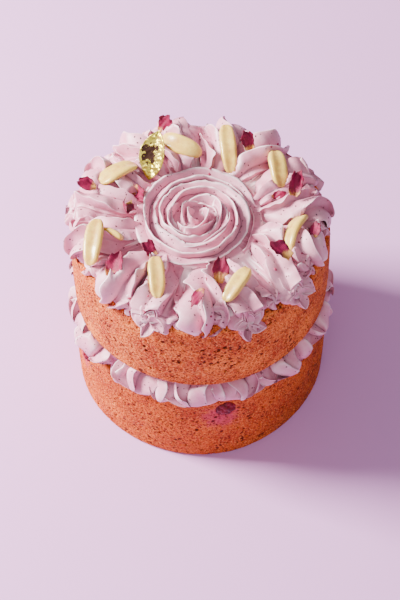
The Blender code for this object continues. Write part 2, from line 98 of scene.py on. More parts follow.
class NodeSheet:
    """A node tree under construction, with short ways to add and join its nodes."""

    def __init__(self, tree: NodeTree) -> None:
        """Keeps the tree that the nodes go into.

        Args:
            tree: A material's, a group's or a modifier's node tree.
        """
        self.tree = tree

    def add(self, kind: str, **settings: Any) -> Node:
        """Adds a node.

        Args:
            kind: Blender's name for the node type.
            settings: Values for the node's own properties.

        Returns:
            The new node.
        """
        made = self.tree.nodes.new(kind)
        for key, value in settings.items():
            setattr(made, key, value)
        return made

    def feed(self, socket: NodeSocket, value: Any) -> None:
        """Links a socket to a value's socket, or sets it to a plain value.

        Args:
            socket: The input that takes the value.
            value: An output socket, or a number, vector or colour.
        """
        if isinstance(value, NodeSocket):
            self.tree.links.new(value, socket)
        else:
            socket.default_value = value

    def math(self, operation: str, *values: Any, clamp: bool = False) -> NodeSocket:
        """Adds a Math node.

        Args:
            operation: The operation's name.
            values: Sockets or numbers, in order.
            clamp: Whether the result is kept between 0 and 1.

        Returns:
            The result's socket.
        """
        node = self.add("ShaderNodeMath", operation=operation, use_clamp=clamp)
        for socket, value in zip(node.inputs, values):
            self.feed(socket, value)
        return node.outputs[0]

    def vector(self, operation: str, first: Any, second: Any = None, scale: Any = None) -> NodeSocket:
        """Adds a Vector Math node.

        Args:
            operation: The operation's name.
            first: The first vector.
            second: The second vector, where there is one.
            scale: The factor of a scaling.

        Returns:
            The vector result, or the number of a length, distance or dot product.
        """
        node = self.add("ShaderNodeVectorMath", operation=operation)
        self.feed(node.inputs[0], first)
        if second is not None:
            self.feed(node.inputs[1], second)
        if scale is not None:
            self.feed(node.inputs["Scale"], scale)
        plain = operation in ("LENGTH", "DISTANCE", "DOT_PRODUCT")
        return node.outputs["Value" if plain else "Vector"]

    def ramp(
        self, value: Any, low: float, high: float, start: float = 0.0, end: float = 1.0
    ) -> NodeSocket:
        """Adds a smooth step from low to high.

        Args:
            value: The socket that is read.
            low: Where the step starts.
            high: Where the step ends.
            start: The result below the step.
            end: The result above the step.

        Returns:
            The result's socket.
        """
        node = self.add("ShaderNodeMapRange", interpolation_type="SMOOTHSTEP")
        keys = ("Value", "From Min", "From Max", "To Min", "To Max")
        for key, number in zip(keys, (value, low, high, start, end)):
            self.feed(node.inputs[key], number)
        return node.outputs["Result"]

    def blend(self, share: Any, first: Any, second: Any) -> NodeSocket:
        """Mixes two colours.

        Args:
            share: How much of the second colour shows, from 0 to 1.
            first: The colour at share 0.
            second: The colour at share 1.

        Returns:
            The mixed colour's socket.
        """
        node = self.add("ShaderNodeMix", data_type="RGBA", clamp_factor=True)
        self.feed(node.inputs["Factor"], share)
        self.feed(node.inputs[6], solid_colour(first))
        self.feed(node.inputs[7], solid_colour(second))
        return node.outputs[2]

    def grain(self, place: Any, scale: Any, detail: float = 2.0, roughness: float = 0.5) -> NodeSocket:
        """Adds a noise texture.

        Args:
            place: The coordinate that it reads.
            scale: Its scale, in cells a metre.
            detail: Its octaves.
            roughness: How much the finer octaves count.

        Returns:
            The noise value's socket, around 0.5.
        """
        node = self.add("ShaderNodeTexNoise")
        keys = ("Vector", "Scale", "Detail", "Roughness")
        for key, value in zip(keys, (place, scale, detail, roughness)):
            self.feed(node.inputs[key], value)
        return node.outputs[0]

    def swirl(self, place: Any, scale: Any, reach: float) -> NodeSocket:
        """Adds a wandering offset to a coordinate.

        Args:
            place: The coordinate.
            scale: The noise's scale, in cells a metre.
            reach: How far the coordinate wanders.

        Returns:
            The moved coordinate's socket.
        """
        node = self.add("ShaderNodeTexNoise")
        self.feed(node.inputs["Vector"], place)
        self.feed(node.inputs["Scale"], scale)
        away = self.vector("SUBTRACT", node.outputs["Color"], (0.5, 0.5, 0.5))
        return self.vector("ADD", place, self.vector("SCALE", away, scale=2 * reach))


def solid_colour(value: Any) -> Any:
    """Gives a plain colour its alpha, and leaves a socket as it is.

    Args:
        value: A socket or three numbers.

    Returns:
        The socket, or four numbers.
    """
    return value if isinstance(value, NodeSocket) else (*value[:3], 1.0)


def group_sockets(tree: NodeTree, inputs: Sequence[tuple], outputs: Sequence[tuple]) -> tuple:
    """Gives a group its named inputs and outputs.

    Args:
        tree: The group's tree.
        inputs: Name, socket type and starting value of each input.
        outputs: Name and socket type of each output.

    Returns:
        The sockets at which the inputs arrive, by name, and the group's output node.
    """
    for name, kind, start in inputs:
        socket = tree.interface.new_socket(name=name, in_out="INPUT", socket_type=kind)
        if start is not None:
            socket.default_value = start
    for name, kind in outputs:
        tree.interface.new_socket(name=name, in_out="OUTPUT", socket_type=kind)
    return tree.nodes.new("NodeGroupInput").outputs, tree.nodes.new("NodeGroupOutput")


# -------------------- shared shading effects


def mottle_group() -> NodeTree:
    """Builds the effect of soft, uneven colour at two scales.

    Returns:
        The shader group, whose one output is a mask around 0.5.
    """
    tree = bpy.data.node_groups.new("soft_mottle", "ShaderNodeTree")
    inputs = (
        ("Vector", "NodeSocketVector", None),
        ("Broad", "NodeSocketFloat", 40.0),
        ("Fine", "NodeSocketFloat", 300.0),
    )
    given, end = group_sockets(tree, inputs, (("Mask", "NodeSocketFloat"),))
    sheet = NodeSheet(tree)
    broad = sheet.grain(given["Vector"], given["Broad"], 3.0)
    fine = sheet.grain(given["Vector"], given["Fine"], 4.0, 0.6)
    both = sheet.math("MULTIPLY_ADD", fine, 0.45, sheet.math("MULTIPLY", broad, 0.55))
    sheet.feed(end.inputs["Mask"], sheet.ramp(both, 0.34, 0.66))
    return tree


def pore_group() -> NodeTree:
    """Builds the effect of small open pores with raised crumb between them.

    Returns:
        The shader group, with the pores' mask and the surface's height as outputs.
    """
    tree = bpy.data.node_groups.new("open_pores", "ShaderNodeTree")
    inputs = (
        ("Vector", "NodeSocketVector", None),
        ("Scale", "NodeSocketFloat", 600.0),
        ("Share", "NodeSocketFloat", 0.5),
    )
    given, end = group_sockets(tree, inputs, (("Pores", "NodeSocketFloat"), ("Height", "NodeSocketFloat")))
    sheet = NodeSheet(tree)
    place = given["Vector"]
    scale = given["Scale"]
    cells = sheet.add("ShaderNodeTexVoronoi", feature="F1")
    sheet.feed(cells.inputs["Vector"], sheet.swirl(place, scale, 0.0011))
    sheet.feed(cells.inputs["Scale"], scale)
    near = sheet.ramp(cells.outputs["Distance"], 0.16, 0.42, 1.0, 0.0)
    chance = sheet.grain(place, sheet.math("MULTIPLY", scale, 0.35), 2.0)
    picked = sheet.ramp(sheet.math("SUBTRACT", chance, given["Share"]), -0.02, 0.05)
    pores = sheet.math("MULTIPLY", near, picked)
    crumb = sheet.grain(place, sheet.math("MULTIPLY", scale, 1.7), 5.0, 0.65)
    sheet.feed(end.inputs["Pores"], pores)
    sheet.feed(end.inputs["Height"], sheet.math("SUBTRACT", sheet.math("MULTIPLY", crumb, 0.6), pores))
    return tree


class Effects:
    """The shared shader groups, built once."""

    def __init__(self) -> None:
        """Builds each group."""
        self.mottle = mottle_group()
        self.pores = pore_group()

    def place(self, sheet: NodeSheet, group: NodeTree, **inputs: Any) -> Node:
        """Puts a group into a material.

        Args:
            sheet: The material's nodes.
            group: The group's tree.
            inputs: Values of the group's inputs, by name.

        Returns:
            The group's node.
        """
        node = sheet.add("ShaderNodeGroup", node_tree=group)
        for name, value in inputs.items():
            sheet.feed(node.inputs[name], value)
        return node

    def mottled(self, sheet: NodeSheet, broad: float, fine: float) -> tuple[NodeSocket, NodeSocket]:
        """Gives a material the object's coordinates and the mottle over them.

        Args:
            sheet: The material's nodes.
            broad: The scale of the broad patches.
            fine: The scale of the fine patches.

        Returns:
            The coordinates' socket and the mottle's mask.
        """
        place = sheet.add("ShaderNodeTexCoord").outputs["Object"]
        mottle = self.place(sheet, self.mottle, Vector=place, Broad=broad, Fine=fine)
        return place, mottle.outputs["Mask"]


def new_material(name: str) -> tuple[Material, NodeSheet, Node]:
    """Starts a material with a Principled shader.

    Args:
        name: The material's name.

    Returns:
        The material, its nodes and its shader.
    """
    material = bpy.data.materials.new(name)
    material.use_nodes = True
    sheet = NodeSheet(material.node_tree)
    return material, sheet, material.node_tree.nodes["Principled BSDF"]


def bump(sheet: NodeSheet, shader: Node, height: Any, strength: float, distance: float) -> None:
    """Gives a shader a bump.

    Args:
        sheet: The material's nodes.
        shader: The shader.
        height: The socket of the height.
        strength: The bump's strength.
        distance: The bump's depth.
    """
    node = sheet.add("ShaderNodeBump")
    node.inputs["Strength"].default_value = strength
    node.inputs["Distance"].default_value = distance
    sheet.feed(node.inputs["Height"], height)
    sheet.feed(shader.inputs["Normal"], node.outputs["Normal"])


# -------------------- finishes


@dataclass(frozen=True)
class CreamFinish:
    """Whipped cream tinted by fruit: smooth, soft sheen, with a painted highlight on its crests and painted
    shade in its creases.
    """

    body: Colour = (0.605, 0.222, 0.322)
    # hollow is painted shade for the creases; crest is a painted highlight for the ridges, and also the
    # random paler tone.
    hollow: Colour = (0.27, 0.085, 0.130)
    crest: Colour = (1.0, 0.82, 0.86)
    roughness: float = 0.42
    softness: float = 0.07

    def build(self, effects: Effects) -> Material:
        """Makes the material.

        Args:
            effects: The shared shader groups.

        Returns:
            The material.
        """
        material, sheet, shader = new_material("cream")
        place, mottle = effects.mottled(sheet, 55.0, 420.0)
        # Pointiness finds ridges and creases: a painted highlight on the ridges, painted shade in the
        # creases.
        edge = sheet.add("ShaderNodeNewGeometry").outputs["Pointiness"]
        crest = sheet.ramp(edge, 0.515, 0.60)
        hollow = sheet.ramp(edge, 0.42, 0.496, 1.0, 0.0)
        body = sheet.blend(sheet.math("MULTIPLY", mottle, 0.16), self.body, self.crest)
        body = sheet.blend(sheet.math("MULTIPLY", hollow, 0.9), body, self.hollow)
        body = sheet.blend(sheet.math("MULTIPLY", crest, 0.8), body, self.crest)
        sheet.feed(shader.inputs["Base Color"], body)
        rough = sheet.ramp(mottle, 0.0, 1.0, self.roughness - 0.06, self.roughness + 0.08)
        sheet.feed(shader.inputs["Roughness"], rough)
        shader.inputs["Subsurface Weight"].default_value = self.softness
        shader.inputs["Subsurface Radius"].default_value = (1.0, 0.7, 0.72)
        shader.inputs["Subsurface Scale"].default_value = 0.003
        shader.inputs["Specular IOR Level"].default_value = 0.4
        fine = sheet.math("MULTIPLY", sheet.grain(place, 1500.0, 4.0, 0.6), 0.35)
        height = sheet.math("MULTIPLY_ADD", sheet.grain(place, 260.0, 2.0), 0.8, fine)
        bump(sheet, shader, height, 0.28, 0.0005)
        return material


@dataclass(frozen=True)
class SpongeFinish:
    """Baked sponge: orange-brown skin, small pores darkened with painted shade, stains of fruit."""

    skin: Colour = (0.40, 0.048, 0.010)
    pale: Colour = (0.78, 0.190, 0.035)
    dark: Colour = (0.30, 0.028, 0.006)
    crumb: Colour = (0.88, 0.36, 0.12)
    # The pores' near-black colour is painted shade for the holes.
    painted_pore_shade: Colour = (0.095, 0.012, 0.006)
    stain: Colour = (0.50, 0.045, 0.095)
    roughness: float = 0.82

    def build(self, effects: Effects, name: str, stains: Sequence[tuple[Vector, float]]) -> Material:
        """Makes the material.

        Args:
            effects: The shared shader groups.
            name: The material's name.
            stains: The middle and reach of each fruit stain.

        Returns:
            The material.
        """
        material, sheet, shader = new_material(name)
        place, mottle = effects.mottled(sheet, 62.0, 520.0)
        small = effects.place(sheet, effects.pores, Vector=place, Scale=700.0, Share=0.34)
        large = effects.place(sheet, effects.pores, Vector=place, Scale=300.0, Share=0.53)
        patches = sheet.grain(place, 24.0, 3.0)
        colour = sheet.blend(mottle, self.skin, self.pale)
        colour = sheet.blend(sheet.ramp(patches, 0.42, 0.7, 0.0, 0.55), colour, self.dark)
        grit = sheet.grain(place, 820.0, 4.0, 0.8)
        colour = sheet.blend(sheet.ramp(grit, 0.50, 0.62, 0.0, 0.62), colour, self.crumb)
        colour = sheet.blend(sheet.ramp(grit, 0.36, 0.47, 0.7, 0.0), colour, self.dark)
        for middle, reach in stains:
            away = sheet.vector("DISTANCE", place, tuple(middle))
            ragged = sheet.grain(place, 240.0, 5.0, 0.65)
            wander = sheet.math("MULTIPLY_ADD", ragged, 2.4 * reach, -1.2 * reach)
            share = sheet.ramp(sheet.math("ADD", away, wander), 0.2 * reach, 1.5 * reach, 0.85, 0.0)
            colour = sheet.blend(share, colour, self.stain)
        # Painted shade darkens the pores.
        colour = sheet.blend(sheet.math("MULTIPLY", small.outputs["Pores"], 0.85), colour, self.painted_pore_shade)
        colour = sheet.blend(sheet.math("MULTIPLY", large.outputs["Pores"], 0.95), colour, self.painted_pore_shade)
        sheet.feed(shader.inputs["Base Color"], colour)
        rough = sheet.ramp(mottle, 0.0, 1.0, self.roughness - 0.1, self.roughness + 0.1)
        sheet.feed(shader.inputs["Roughness"], rough)
        shader.inputs["Specular IOR Level"].default_value = 0.1
        deep = sheet.math("MULTIPLY", large.outputs["Height"], 1.4)
        bump(sheet, shader, sheet.math("ADD", small.outputs["Height"], deep), 0.9, 0.0008)
        return material


@dataclass(frozen=True)
class FruitFinish:
    """Lychee flesh: pale, moist, slightly see-through, brownish in its hollow."""

    flesh: Colour = (0.66, 0.42, 0.070)
    pale: Colour = (0.76, 0.56, 0.145)
    hollow: Colour = (0.46, 0.20, 0.05)
    roughness: float = 0.3

    def build(self, effects: Effects) -> Material:
        """Makes the material, which reads the strips' hollow attribute.

        Args:
            effects: The shared shader groups.

        Returns:
            The material.
        """
        material, sheet, shader = new_material("lychee")
        place, mottle = effects.mottled(sheet, 110.0, 900.0)
        inside = sheet.add("ShaderNodeAttribute", attribute_name="hollow").outputs["Fac"]
        colour = sheet.blend(mottle, self.flesh, self.pale)
        streaks = sheet.ramp(sheet.grain(place, 240.0, 3.0), 0.38, 0.68, 0.1, 0.75)
        brown = sheet.math("MULTIPLY", inside, streaks)
        sheet.feed(shader.inputs["Base Color"], sheet.blend(brown, colour, self.hollow))
        shader.inputs["Roughness"].default_value = self.roughness
        shader.inputs["Subsurface Weight"].default_value = 0.4
        shader.inputs["Subsurface Radius"].default_value = (1.0, 0.75, 0.35)
        shader.inputs["Subsurface Scale"].default_value = 0.003
        shader.inputs["Coat Weight"].default_value = 0.25
        shader.inputs["Coat Roughness"].default_value = 0.15
        fibres = sheet.grain(sheet.vector("MULTIPLY", place, (1.0, 1.0, 0.5)), 700.0, 3.0)
        bump(sheet, shader, fibres, 0.2, 0.0004)
        return material


@dataclass(frozen=True)
class PetalFinish:
    """Dried rose petal: crimson, darker at its edge, straw yellow at its base, veined."""

    face: Colour = (0.17, 0.0015, 0.030)
    light: Colour = (0.33, 0.004, 0.075)
    edge: Colour = (0.09, 0.001, 0.014)
    base: Colour = (0.62, 0.33, 0.08)
    roughness: float = 0.55

    def build(self, effects: Effects) -> Material:
        """Makes the material, which reads the petals' along and across attributes.

        Args:
            effects: The shared shader groups.

        Returns:
            The material.
        """
        material, sheet, shader = new_material("petal")
        place, mottle = effects.mottled(sheet, 170.0, 1100.0)
        along = sheet.add("ShaderNodeAttribute", attribute_name="along").outputs["Fac"]
        across = sheet.add("ShaderNodeAttribute", attribute_name="across").outputs["Fac"]
        wave = sheet.add("ShaderNodeTexWave", wave_type="BANDS", bands_direction="X")
        spread = sheet.add("ShaderNodeCombineXYZ")
        sheet.feed(spread.inputs[0], across)
        sheet.feed(spread.inputs[1], sheet.math("MULTIPLY", along, 0.25))
        sheet.feed(wave.inputs["Vector"], spread.outputs[0])
        wave.inputs["Scale"].default_value = 2.4
        wave.inputs["Distortion"].default_value = 2.2
        wave.inputs["Detail"].default_value = 2.0
        veins = wave.outputs["Fac"]
        colour = sheet.blend(sheet.math("MULTIPLY", mottle, 0.8), self.face, self.light)
        colour = sheet.blend(sheet.ramp(veins, 0.55, 0.95, 0.0, 0.45), colour, self.edge)
        rim = sheet.math("MAXIMUM", sheet.math("ABSOLUTE", across), along)
        colour = sheet.blend(sheet.ramp(rim, 0.72, 1.0, 0.0, 0.6), colour, self.edge)
        ragged = sheet.math("MULTIPLY_ADD", mottle, 0.25, along)
        colour = sheet.blend(sheet.ramp(ragged, 0.10, 0.36, 0.9, 0.0), colour, self.base)
        sheet.feed(shader.inputs["Base Color"], colour)
        shader.inputs["Roughness"].default_value = self.roughness
        shader.inputs["Specular IOR Level"].default_value = 0.3
        bump(sheet, shader, sheet.math("MULTIPLY_ADD", veins, 0.5, mottle), 0.4, 0.0004)
        return material


@dataclass(frozen=True)
class BerryFinish:
    """Baked raspberry: dark, wet skin."""

    skin: Colour = (0.060, 0.0006, 0.004)
    light: Colour = (0.22, 0.002, 0.011)
    roughness: float = 0.42

    def build(self, effects: Effects) -> Material:
        """Makes the material.

        Args:
            effects: The shared shader groups.

        Returns:
            The material.
        """
        material, sheet, shader = new_material("raspberry")
        _, mottle = effects.mottled(sheet, 260.0, 1200.0)
        sheet.feed(shader.inputs["Base Color"], sheet.blend(mottle, self.skin, self.light))
        shader.inputs["Roughness"].default_value = self.roughness
        shader.inputs["Coat Weight"].default_value = 0.06
        shader.inputs["Specular IOR Level"].default_value = 0.2
        bump(sheet, shader, mottle, 0.3, 0.0004)
        return material


@dataclass(frozen=True)
class FoilFinish:
    """Crinkled gold foil with an irregular dark patch where it has tarnished."""

    bright: Colour = (0.80, 0.66, 0.12)
    deep: Colour = (0.36, 0.31, 0.03)
    dark: Colour = (0.030, 0.012, 0.008)
    roughness: float = 0.3

    def build(self, effects: Effects) -> Material:
        """Makes the material, which reads the leaf's patch attribute.

        Args:
            effects: The shared shader groups.

        Returns:
            The material.
        """
        material, sheet, shader = new_material("gold")
        place, mottle = effects.mottled(sheet, 190.0, 900.0)
        patch = sheet.add("ShaderNodeAttribute", attribute_name="patch").outputs["Fac"]
        worn = sheet.math("MULTIPLY_ADD", sheet.grain(place, 340.0, 4.0, 0.65), 2.4, patch)
        stained = sheet.ramp(worn, 1.82, 1.88)
        colour = sheet.blend(mottle, self.deep, self.bright)
        sheet.feed(shader.inputs["Base Color"], sheet.blend(stained, colour, self.dark))
        sheet.feed(shader.inputs["Metallic"], sheet.ramp(stained, 0.0, 1.0, 0.9, 0.1))
        sheet.feed(shader.inputs["Roughness"], sheet.ramp(stained, 0.0, 1.0, self.roughness, 0.9))
        shader.inputs["Specular IOR Level"].default_value = 0.12
        crinkle = sheet.grain(place, 520.0, 4.0, 0.6)
        bump(sheet, shader, crinkle, 0.6, 0.0006)
        return material


@dataclass(frozen=True)
class FleckFinish:
    """Tiny dark crumbs of dried petal."""

    name: str
    dark: Colour
    light: Colour

    def build(self, effects: Effects) -> Material:
        """Makes the material.

        Args:
            effects: The shared shader groups.

        Returns:
            The material.
        """
        material, sheet, shader = new_material(self.name)
        _, mottle = effects.mottled(sheet, 150.0, 1500.0)
        sheet.feed(shader.inputs["Base Color"], sheet.blend(mottle, self.dark, self.light))
        shader.inputs["Roughness"].default_value = 0.6
        return material


@dataclass(frozen=True)
class FloorFinish:
    """A plain, pale, matt table top."""

    colour: Colour = (0.655, 0.330, 0.650)

    def build(self, effects: Effects) -> Material:
        """Makes the material.

        Args:
            effects: The shared shader groups.

        Returns:
            The material.
        """
        material, sheet, shader = new_material("floor")
        _, mottle = effects.mottled(sheet, 2.0, 9.0)
        tone = tuple(0.985 * value for value in self.colour)
        sheet.feed(shader.inputs["Base Color"], sheet.blend(mottle, self.colour, tone))
        shader.inputs["Roughness"].default_value = 0.85
        shader.inputs["Specular IOR Level"].default_value = 0.1
        return material


# -------------------- meshes


def smoothstep(value: float) -> float:
    """A smooth rise from 0 at 0 to 1 at 1."""
    held = max(0.0, min(1.0, value))
    return held * held * (3 - 2 * held)


def polar(radius: float, degrees: float, height: float) -> Vector:
    """The point at a radius and direction about the cake's axis, at a height."""
    angle = math.radians(degrees)
    return Vector((radius * math.cos(angle), radius * math.sin(angle), height))


def add_object(name: str, data: Any) -> Object:
    """Puts data into the scene as a new object.

    Args:
        name: The object's name.
        data: A mesh, a curve, a light or a camera.

    Returns:
        The new object.
    """
    made = bpy.data.objects.new(name, data)
    bpy.context.scene.collection.objects.link(made)
    return made


def evaluated_mesh(obj: Object) -> Mesh:
    """Applies an object's modifiers.

    Args:
        obj: The object, with its modifiers set.

    Returns:
        A new plain mesh in the scene's frame.
    """
    bpy.context.view_layer.update()
    graph = bpy.context.evaluated_depsgraph_get()
    mesh = bpy.data.meshes.new_from_object(obj.evaluated_get(graph))
    mesh.transform(obj.matrix_world)
    return mesh


def baked(obj: Object) -> Object:
    """Replaces an object by a plain mesh object of the same name, at the origin.

    Args:
        obj: The object, which is used up.

    Returns:
        The plain mesh object.
    """
    name = obj.name
    mesh = evaluated_mesh(obj)
    bpy.data.objects.remove(obj)
    return add_object(name, mesh)


def welded(mesh: Mesh, distance: float = 0.001 * MM) -> Mesh:
    """Merges a mesh's doubles and turns its faces outwards.

    Args:
        mesh: The mesh, which is changed.
        distance: Up to how far apart vertices are merged.

    Returns:
        The same mesh.
    """
    work = bmesh.new()
    work.from_mesh(mesh)
    bmesh.ops.remove_doubles(work, verts=work.verts, dist=distance)
    bmesh.ops.recalc_face_normals(work, faces=work.faces)
    work.to_mesh(mesh)
    work.free()
    return mesh


def lofted(name: str, rings: Sequence[Sequence[Vector]], first: Vector, last: Vector) -> Mesh:
    """Skins a row of rings and closes it with a point at each end.

    Args:
        name: The mesh's name.
        rings: Rings with the same number of points.
        first: The point that closes the first ring.
        last: The point that closes the last ring.

    Returns:
        A closed mesh.
    """
    count = len(rings[0])
    points = [point for ring in rings for point in ring] + [first, last]
    low, high = len(points) - 2, len(points) - 1
    faces: list[tuple] = []
    for row in range(len(rings) - 1):
        for i in range(count):
            j = (i + 1) % count
            a, b = row * count + i, row * count + j
            faces.append((a, b, b + count, a + count))
    top = (len(rings) - 1) * count
    for i in range(count):
        j = (i + 1) % count
        faces.append((low, j, i))
        faces.append((high, top + i, top + j))
    mesh = bpy.data.meshes.new(name)
    mesh.from_pydata(points, [], faces)
    return welded(mesh)


def spline(points: Sequence[Sequence[float]], samples: int) -> list[list[float]]:
    """Runs a smooth curve through rows of numbers.

    Args:
        points: The rows that it passes through.
        samples: How many steps lie between one row and the next.

    Returns:
        The rows of the smooth curve.
    """
    made = []
    for i in range(len(points) - 1):
        before = points[max(0, i - 1)]
        after = points[min(len(points) - 1, i + 2)]
        for step in range(samples):
            t = step / samples
            row = []
            for p0, p1, p2, p3 in zip(before, points[i], points[i + 1], after):
                cubic = (3 * p1 - p0 - 3 * p2 + p3) * t * t * t
                square = (2 * p0 - 5 * p1 + 4 * p2 - p3) * t * t
                row.append(0.5 * (2 * p1 + (p2 - p0) * t + square + cubic))
            made.append(row)
    made.append(list(points[-1]))
    return made


def finish_piece(obj: Object, slot: str, material: Material, *nodes: str) -> Object:
    """Gives a finished mesh its material, its body and the nodes that it stands for.

    Args:
        obj: The mesh object, at the origin.
        slot: The record's material slot, not used.
        material: The material.
        nodes: The nodes that it replaces.

    Returns:
        The same object.
    """
    obj.data.materials.clear()
    obj.data.materials.append(material)
    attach(obj, "root")
    if nodes:
        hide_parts(*nodes)
    LOG.info("%s: %d faces", obj.name, len(obj.data.polygons))
    return obj


def keep_inside(mesh: Mesh, node: str) -> None:
    """Holds a mesh inside the box of the node that it stands for, where noise has pushed it out.

    Args:
        mesh: The mesh, which is changed.
        node: The node.
    """
    low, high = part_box(node)
    for vertex in mesh.vertices:
        vertex.co = [max(low[i], min(high[i], vertex.co[i])) for i in range(3)]


def run_nodes(obj: Object, tree: NodeTree, **inputs: Any) -> Object:
    """Runs a Geometry Nodes tree on an object and keeps its result as a plain mesh.

    Args:
        obj: The object that the tree starts from.
        tree: The tree.
        inputs: Values of the tree's inputs, by name with _ for a space.

    Returns:
        The plain mesh object.
    """
    modifier = obj.modifiers.new(tree.name, "NODES")
    modifier.node_group = tree
    for socket in tree.interface.items_tree:
        key = socket.name.replace(" ", "_")
        if socket.in_out == "INPUT" and key in inputs:
            modifier[socket.identifier] = inputs[key]
    return baked(obj)


# -------------------- geometry node trees


def piping_tree() -> NodeTree:
    """Builds the tree that pipes cream through a star nozzle along a curve.

    Returns:
        The tree.
    """
    tree = bpy.data.node_groups.new("piped_bead", "GeometryNodeTree")
    inputs = (
        ("Path", "NodeSocketGeometry", None),
        ("Arms", "NodeSocketInt", 7),
        ("Arm Points", "NodeSocketInt", 12),
        ("Valley", "NodeSocketFloat", 0.5),
        ("Sharpness", "NodeSocketFloat", 1.6),
        ("Ruffle", "NodeSocketFloat", 0.0006),
        ("Ruffle Scale", "NodeSocketFloat", 200.0),
        ("Swell", "NodeSocketFloat", 0.12),
        ("Swell Turns", "NodeSocketFloat", 30.0),
        ("Sway", "NodeSocketFloat", 0.0012),
        ("Cream", "NodeSocketMaterial", None),
    )
    given, end = group_sockets(tree, inputs, (("Mesh", "NodeSocketGeometry"),))
    sheet = NodeSheet(tree)
    arm_points = given["Arm Points"]
    circle = sheet.add("GeometryNodeCurvePrimitiveCircle", mode="RADIUS")
    sheet.feed(circle.inputs["Resolution"], sheet.math("MULTIPLY", given["Arms"], arm_points))
    circle.inputs["Radius"].default_value = 1.0
    index = sheet.add("GeometryNodeInputIndex").outputs[0]
    phase = sheet.math("FRACT", sheet.math("DIVIDE", index, arm_points))
    fin = sheet.math("ABSOLUTE", sheet.math("SUBTRACT", sheet.math("MULTIPLY", phase, 2.0), 1.0))
    rise = sheet.math("POWER", fin, given["Sharpness"])
    room = sheet.math("SUBTRACT", 1.0, given["Valley"])
    reach = sheet.math("MULTIPLY_ADD", rise, room, given["Valley"])
    held = sheet.add("GeometryNodeCaptureAttribute", domain="POINT")
    held.capture_items.new("FLOAT", "Fin")
    held.capture_items.new("FLOAT", "Arm")
    sheet.feed(held.inputs[0], circle.outputs["Curve"])
    sheet.feed(held.inputs["Fin"], fin)
    sheet.feed(held.inputs["Arm"], sheet.math("ROUND", sheet.math("DIVIDE", index, arm_points)))
    place = sheet.add("GeometryNodeInputPosition").outputs[0]
    star = sheet.add("GeometryNodeSetPosition")
    sheet.feed(star.inputs["Geometry"], held.outputs[0])
    sheet.feed(star.inputs["Position"], sheet.vector("SCALE", place, scale=reach))

    spine = sheet.add("GeometryNodeCaptureAttribute", domain="POINT")
    spine.capture_items.new("VECTOR", "Middle")
    spine.capture_items.new("FLOAT", "Size")
    spine.capture_items.new("FLOAT", "Run")
    sheet.feed(spine.inputs[0], given["Path"])
    sheet.feed(spine.inputs["Middle"], sheet.add("GeometryNodeInputPosition").outputs[0])
    sheet.feed(spine.inputs["Size"], sheet.add("GeometryNodeInputRadius").outputs[0])
    sheet.feed(spine.inputs["Run"], sheet.add("GeometryNodeSplineParameter").outputs["Factor"])
    sweep = sheet.add("GeometryNodeCurveToMesh")
    sheet.feed(sweep.inputs["Curve"], spine.outputs[0])
    sheet.feed(sweep.inputs["Profile Curve"], star.outputs["Geometry"])
    sheet.feed(sweep.inputs["Scale"], sheet.add("GeometryNodeInputRadius").outputs[0])
    sweep.inputs["Fill Caps"].default_value = True

    spot = sheet.add("GeometryNodeInputPosition").outputs[0]
    away = sheet.vector("NORMALIZE", sheet.vector("SUBTRACT", spot, spine.outputs["Middle"]))
    wander = sheet.math("SUBTRACT", sheet.grain(spot, given["Ruffle Scale"], 3.0), 0.5)
    crest = sheet.math("POWER", held.outputs["Fin"], 3.0)
    ragged = sheet.math("MULTIPLY", sheet.math("MULTIPLY", wander, crest), given["Ruffle"])
    offset = sheet.math("MULTIPLY", held.outputs["Arm"], 2.4)
    beat = sheet.math("MULTIPLY_ADD", spine.outputs["Run"], given["Swell Turns"], offset)
    swell = sheet.math("MULTIPLY", sheet.math("SINE", beat), given["Swell"])
    swollen = sheet.math("MULTIPLY", swell, spine.outputs["Size"])
    swollen = sheet.math("MULTIPLY", swollen, held.outputs["Fin"])
    depth = sheet.math("MULTIPLY_ADD", ragged, 2.0, swollen)
    drift = sheet.add("ShaderNodeTexNoise")
    sheet.feed(drift.inputs["Vector"], spot)
    drift.inputs["Scale"].default_value = 75.0
    lean = sheet.vector("SUBTRACT", drift.outputs["Color"], (0.5, 0.5, 0.5))
    lean = sheet.vector("SCALE", lean, scale=sheet.math("MULTIPLY", given["Sway"], 2.0))
    rough = sheet.add("GeometryNodeSetPosition")
    sheet.feed(rough.inputs["Geometry"], sweep.outputs["Mesh"])
    sheet.feed(rough.inputs["Offset"], sheet.vector("ADD", sheet.vector("SCALE", away, scale=depth), lean))
    finish_tree(sheet, rough.outputs["Geometry"], given["Cream"], end)
    return tree


def finish_tree(sheet: NodeSheet, geometry: Any, material: Any, end: Node) -> None:
    """Ends a tree with Realize Instances, smooth shading and Set Material.

    Args:
        sheet: The tree's nodes.
        geometry: The socket of the finished geometry.
        material: The socket of its material.
        end: The tree's output node.
    """
    smooth = sheet.add("GeometryNodeSetShadeSmooth")
    real = sheet.add("GeometryNodeRealizeInstances")
    painted = sheet.add("GeometryNodeSetMaterial")
    sheet.feed(smooth.inputs["Geometry"], geometry)
    sheet.feed(real.inputs["Geometry"], smooth.outputs["Geometry"])
    sheet.feed(painted.inputs["Geometry"], real.outputs["Geometry"])
    sheet.feed(painted.inputs["Material"], material)
    sheet.feed(end.inputs[0], painted.outputs["Geometry"])


